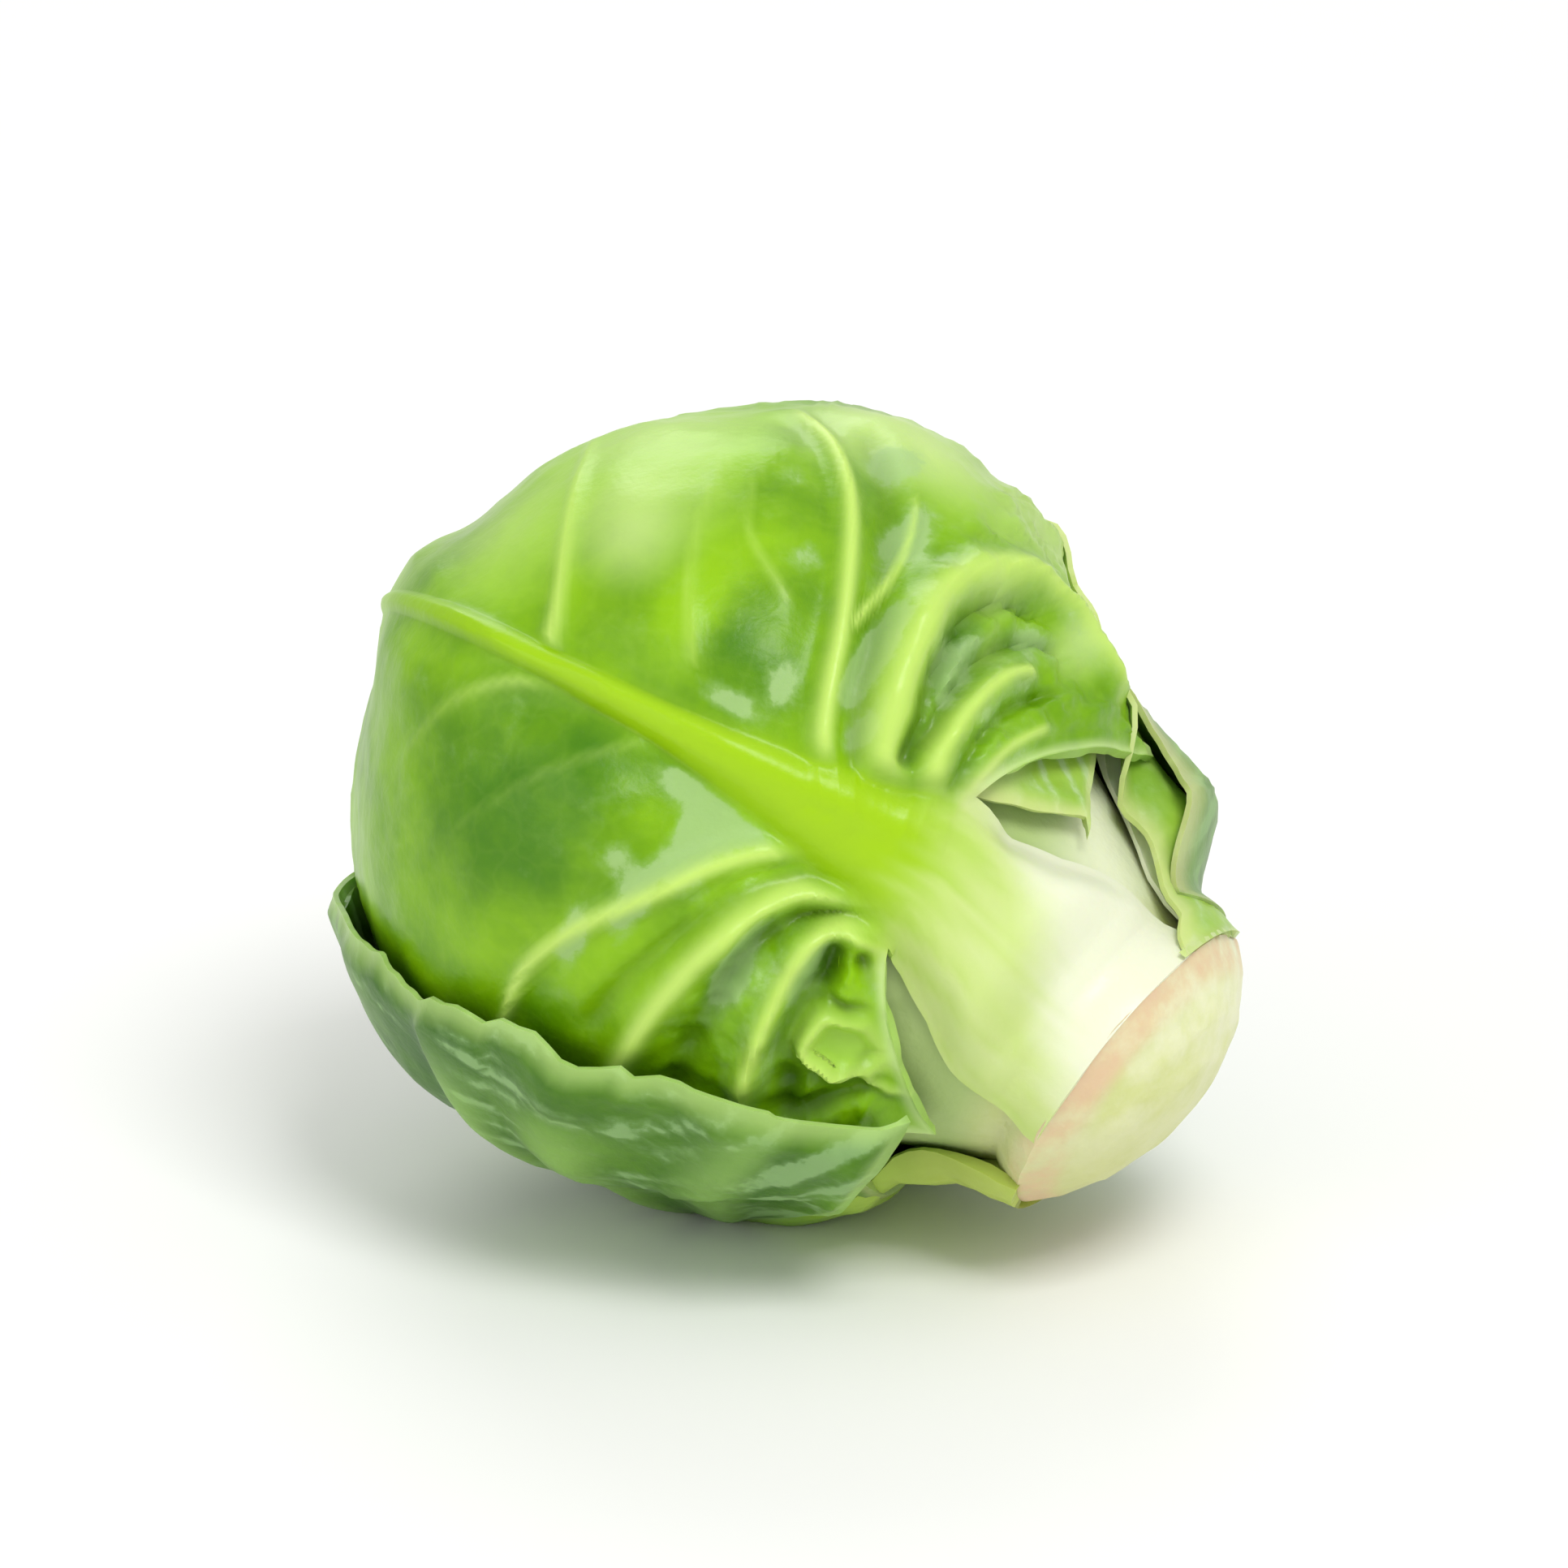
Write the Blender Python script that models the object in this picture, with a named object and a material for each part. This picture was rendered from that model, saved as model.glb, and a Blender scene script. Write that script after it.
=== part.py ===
"""A single Brussels sprout lying on its side, as picked and trimmed.

The sprout is a bud: a short thick stem that runs into a tight pale heart, and six wrapping leaves that lie
over each other in a spiral. Every leaf is a closed blade with its own midrib, ribs, lobes beside its foot and
waved margin. Lengths are in millimetres until a mesh is made, and angles are in degrees.

In the sprout's own frame the stem points down -Z and the crown up +Z. A leaf's point is given by x across
the leaf, q for the row it lies on and y along the leaf, all as arcs on the head. y = 0 is the head's widest
girth. Each leaf is laid on what has been built beneath it.
"""

from collections import namedtuple
from math import acos, atan2, cos, degrees, hypot, radians, sin

import bmesh
import bpy
import numpy as np
from mathutils import Matrix, Vector
from mathutils.bvhtree import BVHTree

MM = 0.001

# Driving dimensions of the sprout
CORE_RADIUS = 12.7
STEM_LENGTH = 19.3
STEM_RADIUS = 5.3
CUT_RADIUS = 6.9
CUT_DOME = 2.6
FLANGE_HEIGHT = 1.5
BLADE = 0.74
GAP = 0.26
CHORD_ALLOWANCE = 0.10

# How the sprout lies: its stem end points this way, and dips below the horizontal
STEM_HEADING = -29.3
STEM_DIP = 26.4
ROLL = 31.9
# The thicker spot on the lowest leaf that is pressed flat where the sprout rests
PAD_HEIGHT = 1.6
PAD_RADIUS = 30.0
FLAT_DEPTH = 1.6
# As it lies, the sprout is a little lower than it is wide, flatter beneath and fuller on top
SQUASH = 0.965
TOP_FULLNESS = 0.0045

# Leaves from the outermost to the innermost. azimuth is where the midrib runs, lean turns the leaf about its
# middle, width is half of its spread, reach is how far past the girth its tip lies, lobes is how far down its
# lobes hang, foot is where it leaves the stem, petiole is the share of the widest foot that its foot has, rib
# is its midrib's height, pleat is how strongly it is pleated, and sides and tip_rows count its cells.
Leaf = namedtuple(
    "Leaf",
    "name azimuth lean width reach lobes foot petiole rib pleat sides tip_rows curl seed",
)
LEAVES = [
    Leaf("leaf_under", -120, -4, 71, 46, -90, -69, 0.80, 0.5, 0.6, 8, 7, 0.08, 3),
    Leaf("leaf_right_outer", 184, -5, 68, 24, -86, -69, 0.45, 0.8, 0.7, 8, 6, 0.10, 5),
    Leaf("leaf_right_inner", 149, -10, 49, 15, -84, -68, 0.45, 0.8, 0.7, 7, 5, 0.08, 8),
    Leaf("leaf_front", 3, -8, 95, 100, -78, -69, 0.85, 1.0, 1.5, 10, 15, 0.20, 1),
    Leaf("leaf_back", -100, 6, 84, 92, -56, -56, 0.40, 0.7, 0.5, 8, 10, 0.20, 11),
    Leaf("leaf_top", 93, -5, 84, 94, -60, -66, 0.50, 0.7, 0.5, 8, 10, 0.20, 14),
]
# Small leaves of the heart, whose margins only show as steps on it
HEART_LEAVES = [
    Leaf("heart_left", -44, 5, 78, 86, -62, -58, 0.3, 0, 0, 0, 0, 0, 17),
    Leaf("heart_right", 178, -5, 78, 88, -62, -56, 0.3, 0, 0, 0, 0, 0, 20),
]
HEART_STEP = 0.5

# Share of the columns across a leaf that lie on its midrib
CENTRE = 0.4
MIDDLE_COLUMNS = 4
# Along a leaf: half the midrib's spread, its height, and half the foot's turn round the stem
MIDRIB_AT = [-72, -60, -46, -38, -30, -22, -10, 0, 20, 50, 90]
MIDRIB_SPREAD = [30, 24, 16, 11, 9, 6.5, 4.2, 3.2, 2.6, 2.2, 2.0]
MIDRIB_HEIGHT = [0.95, 1.1, 1.2, 1.15, 1.05, 0.85, 0.62, 0.5, 0.38, 0.25, 0.08]
FOOT_AT = [-72, -64, -58, -52, -46]
FOOT_TURN = [60, 50, 35, 26, 20]
# The rows of a leaf bend back from its midrib
ROW_AT = [-47, -37, -33, -25, 20, 60, 100]
ROW_SLOPE = [0.25, 0.4, 0.6, 0.6, 0.6, 0.4, -0.1]
ROW_CURVE = [-0.022, -0.013, -0.009, -0.001, 0.001, 0.0, 0.0]
BLADE_START = -46.0
FOOT_END = -50.0
FAN_END = -22.0
FAN_ROWS = 9
FOOT_ROWS = 4
# Ribs: where each leaves the midrib, its strength and its spread
RIBS = [(-37.0, 0.9, 2.0), (-31.0, 1.0, 2.0), (-25.0, 1.0, 2.2), (18.0, 0.3, 4.5)]
RIB_HEIGHT = 0.45
PLEAT = 0.55
SWELL = 0.4
# How steeply a leaf comes down from the margin of a leaf beneath it
DRAPE_SLOPE = 0.42
SMOOTHING = 3
SUB = 3
SKY = 15.0

FAR_CORNER = hypot(STEM_LENGTH, STEM_RADIUS)
TOUCH = atan2(STEM_RADIUS, STEM_LENGTH) + acos(CORE_RADIUS / FAR_CORNER)


def direction(alpha, azimuth):
    """Unit vectors at angles alpha from the stem's end and azimuths round the axis."""
    a, f = np.radians(alpha), np.radians(azimuth)
    return np.stack([np.sin(a) * np.cos(f), np.sin(a) * np.sin(f), -np.cos(a) + 0 * f], axis=-1)


def leaf_axes(leaf):
    """The leaf's middle, its sideways direction and its direction to the tip, on the unit sphere."""
    f, turn = radians(leaf.azimuth), radians(leaf.lean)
    tipward = np.array([0.0, 0.0, 1.0])
    sideways = np.array([-sin(f), cos(f), 0.0])
    middle = direction(90.0, float(leaf.azimuth))
    return middle, cos(turn) * sideways - sin(turn) * tipward, cos(turn) * tipward + sin(turn) * sideways


def to_sphere(leaf, x, y):
    """Directions of the points (x, y) of a leaf, which are arcs in degrees from its middle."""
    middle, side, tip = leaf_axes(leaf)
    arc = np.radians(np.hypot(x, y))
    scale = np.sinc(arc / np.pi) * np.pi / 180
    return np.cos(arc)[..., None] * middle + (scale * x)[..., None] * side + (scale * y)[..., None] * tip


def from_sphere(leaf, d):
    """The leaf's arcs (x, y) of directions d."""
    middle, side, tip = leaf_axes(leaf)
    arc = np.arccos(np.clip(d @ middle, -0.999999, 1))
    scale = np.degrees(1 / np.maximum(np.sinc(arc / np.pi), 0.02))
    return scale * (d @ side), scale * (d @ tip)


def foot_azimuth(leaf):
    """Where the leaf's foot lies round the stem, in line with its leaning midrib."""
    spot = to_sphere(leaf, np.array(0.0), np.array(BLADE_START))
    return degrees(atan2(spot[1], spot[0]))


def row_rise(x, q):
    """How far a row that leaves the midrib at q has risen at a distance x from it."""
    side = np.abs(x)
    return np.interp(q, ROW_AT, ROW_SLOPE) * side + np.interp(q, ROW_AT, ROW_CURVE) * side**2


def row_of(x, y):
    """The row q that passes through (x, y)."""
    low, high = np.full_like(y, -120.0), np.full_like(y, 120.0)
    for _ in range(16):
        middle = (low + high) / 2
        above = middle + row_rise(x, middle) > y
        low, high = np.where(above, low, middle), np.where(above, middle, high)
    return (low + high) / 2


def blade_width(leaf, y):
    """Half the spread of the round blade at y, with its waved margin."""
    centre = (leaf.reach + leaf.lobes) / 2
    length = (leaf.reach - leaf.lobes) / 2
    round_part = np.clip(1 - np.abs((y - centre) / length) ** 2.3, 0, 1) ** (1 / 2.3)
    wave = 1 + 0.022 * np.sin(0.16 * y + leaf.seed) + 0.014 * np.sin(0.37 * y + 2 * leaf.seed)
    return leaf.width * round_part * wave


def row_end(leaf, q):
    """How far each row q runs from the midrib to the margin."""
    end = np.full_like(q, 0.5 * leaf.width)
    for _ in range(40):
        end = 0.6 * end + 0.4 * blade_width(leaf, np.minimum(q + row_rise(end, q), leaf.reach))
    return np.maximum(end, 4.0)


def midrib_spread(leaf, q):
    """Half the spread of the midrib, as an arc."""
    return np.interp(q, MIDRIB_AT, MIDRIB_SPREAD) * np.interp(q, [BLADE_START, -10], [leaf.petiole, 1])


def foot_turn(leaf, q):
    """Half the turn of the leaf's foot round the stem."""
    return leaf.petiole * np.interp(q, FOOT_AT, FOOT_TURN)


def bump(t, power=2):
    """1 at t = 0, falling smoothly to 0 at t = 1."""
    return np.clip(1 - np.abs(t) ** power, 0, 1) ** 2


def smooth(t):
    """0 below t = 0, 1 above t = 1 and smooth between."""
    t = np.clip(t, 0, 1)
    return t * t * (3 - 2 * t)


def outside(leaf, d):
    """How far each direction lies outside the leaf's outline, in degrees. It is negative inside."""
    x, y = from_sphere(leaf, d)
    past_tip = y - leaf.reach
    before_lobes = BLADE_START - row_of(x, y)
    blade = np.maximum(np.abs(x) - blade_width(leaf, y), np.maximum(past_tip, before_lobes))
    alpha = np.degrees(np.arccos(np.clip(-d[..., 2], -1, 1)))
    turn = np.degrees(np.arctan2(d[..., 1], d[..., 0])) - foot_azimuth(leaf)
    turn = np.abs((turn + 180) % 360 - 180) - foot_turn(leaf, alpha - 90)
    foot = np.maximum(turn * np.sin(np.radians(alpha)), alpha - 90 - BLADE_START)
    return np.minimum(blade, np.maximum(foot, leaf.foot + 90 - alpha))


def covered(rank, d):
    """1 where an outer leaf presses on the leaf of this rank, 0 where it is free."""
    free = np.ones(d.shape[:-1])
    for outer in LEAVES[:rank]:
        free = free * smooth((outside(outer, d) - 2) / 5)
    return 1 - free


def core_point(d, height):
    """Points over the pear-shaped core in directions d, at a height along its normal."""
    rho = np.hypot(d[..., 0], d[..., 1])
    alpha = np.arctan2(rho, -d[..., 2])
    normal = np.maximum(alpha, TOUCH)
    reach = CORE_RADIUS / np.cos(normal - alpha)
    around = d[..., :2] / np.maximum(rho, 1e-9)[..., None]
    flat = reach * np.sin(alpha) + height * np.sin(normal)
    down = reach * np.cos(alpha) + height * np.cos(normal)
    return np.concatenate([around * flat[..., None], -down[..., None]], axis=-1)


def leaf_directions(leaf, across, rows):
    """Arc x, row q and direction of the leaf's points, for its columns across from -1 to 1 and its rows."""
    u, q = np.meshgrid(across, rows, indexing="ij")
    share = np.minimum(np.abs(u) / CENTRE, 1)
    blade_share = np.clip((np.abs(u) - CENTRE) / (1 - CENTRE), 0, 1)
    spread = midrib_spread(leaf, q)
    x = np.sign(u) * (share * spread + blade_share * (row_end(leaf, q) - spread))
    blade = to_sphere(leaf, x, q + row_rise(x, q))
    foot = direction(90 + q, foot_azimuth(leaf) + np.sign(u) * share * foot_turn(leaf, q))
    return x, q, np.where((q < BLADE_START)[..., None], foot, blade)


def rib_strength(q):
    """Strength of the ribs on row q, from 0 between them to 1."""
    return np.max([strength * np.exp(-(((q - at) / width) ** 2)) for at, strength, width in RIBS], axis=0)


def thickness(leaf, x, q, pressed):
    """Thickness of the leaf: its blade, its midrib and its ribs."""
    spread = midrib_spread(leaf, q)
    firm = 1 - 0.5 * pressed * smooth((q + 40) / 20)
    middle = leaf.rib * firm * np.interp(q, MIDRIB_AT, MIDRIB_HEIGHT) * bump(x / spread, 3)
    along = smooth(np.abs(x) / spread) * bump(x / leaf.width, 3)
    return BLADE + middle + (1 - pressed) * RIB_HEIGHT * leaf.pleat * along * rib_strength(q)


def lift(leaf, x, q, across, pressed):
    """How far the blade stands off what it rests on: pleats, swelling panes and a curled margin."""
    side = np.abs(x)
    pleats = leaf.pleat * PLEAT * smooth((side - 10) / 12) * rib_strength(q)
    swell = SWELL * smooth((side - 4) / 30) * bump((q + 2) / 24)
    margin = smooth((np.abs(across) - 0.78) / 0.22) * np.ones_like(q)
    curl = leaf.curl * margin * (0.6 + 0.4 * np.sin(0.3 * q + leaf.seed))
    return (1 - pressed) * (pleats + swell + curl)


def top_heights(trees, d):
    """Height, over the core, of the outermost thing built so far in each direction."""
    start = core_point(d, SKY).reshape(-1, 3)
    inward = (core_point(d, 0.0).reshape(-1, 3) - start) / SKY
    tops = np.zeros(len(start))
    for index, (origin, way) in enumerate(zip(start.tolist(), inward.tolist())):
        hits = [tree.ray_cast(origin, way, SKY)[3] for tree in trees]
        tops[index] = max([SKY - hit for hit in hits if hit is not None], default=0.0)
    return tops.reshape(d.shape[:-1])


def refined(values):
    """The values with SUB steps where there was one."""
    steps = np.arange((len(values) - 1) * SUB + 1) / SUB
    return np.interp(steps, np.arange(len(values)), values)


def resting_height(leaf, trees, across, rows):
    """Height of the leaf's inner face at its points, clear of all that lies beneath."""
    _, _, fine = leaf_directions(leaf, refined(across), refined(rows))
    tops = np.pad(top_heights(trees, fine), SUB, mode="edge")
    wide, tall = len(across), len(rows)
    reach = range(2 * SUB + 1)
    height = np.max([tops[i:, j:][::SUB, ::SUB][:wide, :tall] for i in reach for j in reach], axis=0)
    _, _, d = leaf_directions(leaf, across, rows)
    points = core_point(d, 0.0)
    step_across = DRAPE_SLOPE * np.linalg.norm(np.diff(points, axis=0), axis=-1)
    step_along = DRAPE_SLOPE * np.linalg.norm(np.diff(points, axis=1), axis=-1)
    for _ in range(max(wide, tall)):
        height[1:] = np.maximum(height[1:], height[:-1] - step_across)
        height[:-1] = np.maximum(height[:-1], height[1:] - step_across)
        height[:, 1:] = np.maximum(height[:, 1:], height[:, :-1] - step_along)
        height[:, :-1] = np.maximum(height[:, :-1], height[:, 1:] - step_along)
    for _ in range(SMOOTHING):
        padded = np.pad(height, 1, mode="edge")
        around = padded[2:, 1:-1] + padded[:-2, 1:-1] + padded[1:-1, 2:] + padded[1:-1, :-2]
        height = np.maximum(height, around / 4)
    return height + GAP + CHORD_ALLOWANCE


def lying_rotation():
    """Turns the sprout's own frame to how it lies, with its stem end down and towards the front."""
    heading, dip = radians(STEM_HEADING), radians(STEM_DIP)
    crown = -Vector((cos(heading) * cos(dip), sin(heading) * cos(dip), -sin(dip)))
    level = Vector((sin(heading), -cos(heading), 0))
    above = crown.cross(level)
    front = cos(radians(ROLL)) * level + sin(radians(ROLL)) * above
    return Matrix((front, crown.cross(front), crown)).transposed()


def material(name, colour, roughness):
    """A plain surface of one colour."""
    made = bpy.data.materials.new(name)
    made.use_nodes = True
    shader = made.node_tree.nodes["Principled BSDF"]
    shader.inputs["Base Color"].default_value = (*colour, 1)
    shader.inputs["Roughness"].default_value = roughness
    return made


def finish(name, bm, surface, axis, collection, down):
    """Makes the object from a mesh in millimetres, lowered along down, and returns the mesh's search tree."""
    bmesh.ops.recalc_face_normals(bm, faces=bm.faces)
    if bm.calc_volume(signed=True) < 0:
        bmesh.ops.reverse_faces(bm, faces=bm.faces)
    tree = BVHTree.FromBMesh(bm)
    for vertex in bm.verts:
        low = vertex.co.dot(down)
        vertex.co -= ((1 - SQUASH) * low + TOP_FULLNESS * low**2) * down
    bmesh.ops.scale(bm, vec=(MM, MM, MM), verts=bm.verts)
    mesh = bpy.data.meshes.new(name)
    bm.to_mesh(mesh)
    bm.free()
    mesh.shade_smooth()
    mesh.set_sharp_from_angle(angle=radians(50))
    made = bpy.data.objects.new(name, mesh)
    made.data.materials.append(surface)
    made.parent = axis
    collection.objects.link(made)
    return tree


def leaf_columns(leaf):
    """Columns across a leaf, from -1 to 1."""
    middle = np.linspace(-CENTRE, CENTRE, MIDDLE_COLUMNS + 1)
    right = np.linspace(CENTRE, 1, leaf.sides + 1)[1:]
    return np.concatenate([-right[::-1], middle, right])


def leaf_rows(leaf):
    """Rows of a leaf: on its foot, in the fan of ribs above that, and on to its tip."""
    foot = np.linspace(leaf.foot, FOOT_END, FOOT_ROWS)
    fan = np.linspace(BLADE_START, FAN_END, FAN_ROWS)
    tip = np.linspace(FAN_END, leaf.reach - 3, leaf.tip_rows + 1)[1:]
    return np.concatenate([foot, fan, tip])


def press_flat(points, plane):
    """Moves points that lie beyond the resting plane, given as its normal and distance, onto it."""
    normal, distance = plane
    beyond = np.maximum(points @ normal - distance, 0)
    return points - beyond[..., None] * normal


def leaf_faces(rank, trees, across, rows, down):
    """Points of the leaf's inner and outer face. The outermost leaf gets the flat resting spot."""
    leaf = LEAVES[rank]
    x, q, d = leaf_directions(leaf, across, rows)
    pressed = covered(rank, d)
    low = resting_height(leaf, trees, across, rows) + lift(leaf, x, q, across[:, None], pressed)
    thick = thickness(leaf, x, q, pressed)
    if rank == 0:
        thick = thick + PAD_HEIGHT * bump(np.degrees(np.arccos(np.clip(d @ down, -1, 1))) / PAD_RADIUS)
    outer = core_point(d, low + thick)
    if rank == 0:
        outer = press_flat(outer, (down, (outer @ down).max() - FLAT_DEPTH))
    return core_point(d, low), outer


def build_leaf(rank, trees, surface, axis, collection, down):
    """A leaf: a grid without the corners beside its foot, extruded to a slab and laid over the others."""
    leaf = LEAVES[rank]
    across, rows = leaf_columns(leaf), leaf_rows(leaf)
    wide, tall = len(across) - 1, len(rows) - 1
    bm = bmesh.new()
    bmesh.ops.create_grid(bm, x_segments=wide, y_segments=tall, size=1)

    def place(co):
        """Column and row of a place on the grid."""
        return (co.x + 1) / 2 * wide, (co.y + 1) / 2 * tall

    corners = []
    for face in bm.faces:
        column, row = place(face.calc_center_median())
        if row < FOOT_ROWS and not leaf.sides < column < wide - leaf.sides:
            corners.append(face)
    bmesh.ops.delete(bm, geom=corners, context="FACES")
    bmesh.ops.triangulate(bm, faces=bm.faces, quad_method="FIXED")
    extruded = bmesh.ops.extrude_face_region(bm, geom=bm.faces[:] + bm.edges[:] + bm.verts[:])
    inner, outer = leaf_faces(rank, trees, across, rows, down)
    raised = {item for item in extruded["geom"] if isinstance(item, bmesh.types.BMVert)}
    for vertex in bm.verts:
        column, row = (round(value) for value in place(vertex.co))
        vertex.co = Vector((outer if vertex in raised else inner)[column, row])
    return finish(leaf.name, bm, surface, axis, collection, Vector(down))


def heart_relief(d):
    """Steps that the margins of the heart's own leaves raise on it."""
    return sum(HEART_STEP * (1 - smooth(outside(leaf, d) / 8)) for leaf in HEART_LEAVES)


def build_heart(surface, axis, collection, down):
    """The stem with its cut face and rim, widening into the tight heart."""
    shoulder = -STEM_LENGTH + FLANGE_HEIGHT
    cut = [
        (0.0, -CUT_DOME - STEM_LENGTH),
        (0.35 * CUT_RADIUS, -0.92 * CUT_DOME - STEM_LENGTH),
        (0.65 * CUT_RADIUS, -0.65 * CUT_DOME - STEM_LENGTH),
        (0.88 * CUT_RADIUS, -0.25 * CUT_DOME - STEM_LENGTH),
        (CUT_RADIUS - 0.05, 0.25 * FLANGE_HEIGHT - STEM_LENGTH),
        (CUT_RADIUS + 0.05, 0.7 * FLANGE_HEIGHT - STEM_LENGTH),
        (CUT_RADIUS - 0.1, shoulder),
    ]
    neck = 18.0
    rings, segments = 28, 32
    bm = bmesh.new()
    bmesh.ops.create_uvsphere(bm, u_segments=segments, v_segments=rings, radius=1)
    for vertex in bm.verts:
        ring = round(rings * acos(max(-1.0, min(1.0, -vertex.co.z))) / np.pi)
        azimuth = atan2(vertex.co.y, vertex.co.x)
        if ring < len(cut):
            rho, z = cut[ring]
            vertex.co = Vector((rho * cos(azimuth), rho * sin(azimuth), z))
            continue
        alpha = neck + (180 - neck) * (ring - len(cut)) / (rings - len(cut))
        d = direction(alpha, degrees(azimuth))
        height = heart_relief(d) * smooth((alpha - 30) / 20)
        vertex.co = Vector(core_point(d, height))
    return finish("stem_and_heart", bm, surface, axis, collection, Vector(down))


def main():
    for old in list(bpy.data.objects):
        bpy.data.objects.remove(old, do_unlink=True)
    collection = bpy.data.collections.new("brussels_sprout")
    bpy.context.scene.collection.children.link(collection)
    axis = bpy.data.objects.new("sprout_axis", None)
    collection.objects.link(axis)

    turn = lying_rotation()
    down = np.array(turn.transposed() @ Vector((0, 0, -1)))
    outer_green = material("outer leaf", (0.20, 0.42, 0.03), 0.45)
    front_green = material("front leaf", (0.38, 0.60, 0.06), 0.45)
    stem_white = material("stem", (0.80, 0.82, 0.52), 0.55)

    trees = [build_heart(stem_white, axis, collection, down)]
    for rank in reversed(range(len(LEAVES))):
        surface = outer_green if rank < 3 else front_green
        trees.append(build_leaf(rank, trees, surface, axis, collection, down))

    axis.rotation_mode = "QUATERNION"
    axis.rotation_quaternion = turn.to_quaternion()
    bpy.context.view_layer.update()
    corners = np.array([turn @ v.co for o in collection.objects if o.type == "MESH" for v in o.data.vertices])
    low, high = corners.min(0), corners.max(0)
    axis.location = (-(low[0] + high[0]) / 2, -(low[1] + high[1]) / 2, -low[2])


main()
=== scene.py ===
"""Dresses a Brussels sprout with fine leaves, stem and heart over its frame, in a plain studio."""

from collections import namedtuple
from math import acos, atan2, cos, degrees, hypot, radians, sin

import bpy
import numpy as np
from mathutils import Matrix, Vector, noise
from mathutils.bvhtree import BVHTree


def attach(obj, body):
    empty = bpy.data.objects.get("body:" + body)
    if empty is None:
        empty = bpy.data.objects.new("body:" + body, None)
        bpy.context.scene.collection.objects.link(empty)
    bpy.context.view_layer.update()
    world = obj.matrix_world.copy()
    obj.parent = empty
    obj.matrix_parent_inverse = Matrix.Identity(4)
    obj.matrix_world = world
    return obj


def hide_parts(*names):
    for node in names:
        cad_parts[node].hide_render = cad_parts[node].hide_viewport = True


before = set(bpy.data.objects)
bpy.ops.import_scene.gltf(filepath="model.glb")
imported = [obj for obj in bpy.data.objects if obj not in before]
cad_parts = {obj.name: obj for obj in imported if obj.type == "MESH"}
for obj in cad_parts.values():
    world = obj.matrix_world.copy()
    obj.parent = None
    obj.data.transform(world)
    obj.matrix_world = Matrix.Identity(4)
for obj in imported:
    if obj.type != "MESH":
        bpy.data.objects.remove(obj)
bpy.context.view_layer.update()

bl_info = {
    "name": "Brussels Sprout",
    "version": (1, 0, 0),
    "blender": (4, 5, 0),
    "location": "View3D > Sidebar > Sprout",
    "description": "Models the leaves, stem and heart of a Brussels sprout",
    "category": "Add Mesh",
}

MM = 0.001

# Driving dimensions of the sprout, in millimetres and degrees
CORE_RADIUS = 12.7
STEM_LENGTH = 19.3
STEM_RADIUS = 5.3
CUT_RADIUS = 6.9
CUT_DOME = 2.6
HEART_STEP = 0.5
FLANGE_HEIGHT = 1.5
STEM_HEADING = -29.3
STEM_DIP = 26.4
ROLL = 31.9
HEAD_CENTRE = (-1.571, -0.432, 15.879)
FLAT_HEIGHT = 0.02
SQUASH = 0.965
TOP_FULLNESS = 0.0045
KNOB_RADIUS = 7.4
KNOB_END = 19.15
FOOT_STEP = 0.12

# Leaves from the outermost to the innermost. azimuth is where the midrib runs, lean turns the leaf about
# its middle, width is half of its spread, reach is how far past the girth its tip lies, lobes is how far
# down its lobes hang, foot is where it leaves the stem and petiole is the share of the widest foot that its
# foot has. rib is its midrib's height, pleat is how strongly it is pleated, curl is how far its margin stands
# off, seed sets its waves and surface is its look. drop is how far its lobes sag, and left and right are how
# far its lowest rows run to each side. Angles are in degrees and heights in millimetres.
Leaf = namedtuple(
    "Leaf", "name azimuth lean width reach lobes foot petiole rib pleat curl seed surface drop left right"
)
LEAVES = [
    Leaf("leaf_under", -120, -4, 71, 46, -90, -69, 0.80, 0.5, 0.6, 0.08, 3, "deep", 13, 99, 37),
    Leaf("leaf_right_outer", 184, -5, 76, 36, -86, -69, 0.45, 0.8, 0.7, 0.10, 5, "worn", 12, 99, 99),
    Leaf("leaf_right_inner", 149, -10, 60, 28, -84, -68, 0.45, 0.8, 0.7, 0.08, 8, "pale", 12, 99, 99),
    Leaf("leaf_front", 3, -8, 95, 100, -78, -69, 0.85, 1.0, 1.5, 0.20, 1, "bright", 0, 38, 99),
    Leaf("leaf_back", -100, 6, 84, 92, -56, -56, 0.40, 0.7, 0.5, 0.20, 11, "pale", 0, 99, 99),
    Leaf("leaf_top", 93, -5, 84, 94, -60, -66, 0.50, 0.7, 0.5, 0.20, 14, "pale", 0, 99, 99),
]
FRONT = 3
# How closely a leaf's sides hug what lies beneath, for the ranks that do
HUGGING = {1: 0.55, 2: 1.0}
OUTER_SURFACES = ("deep", "worn")
FRONT_FOOT = -73.0
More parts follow.
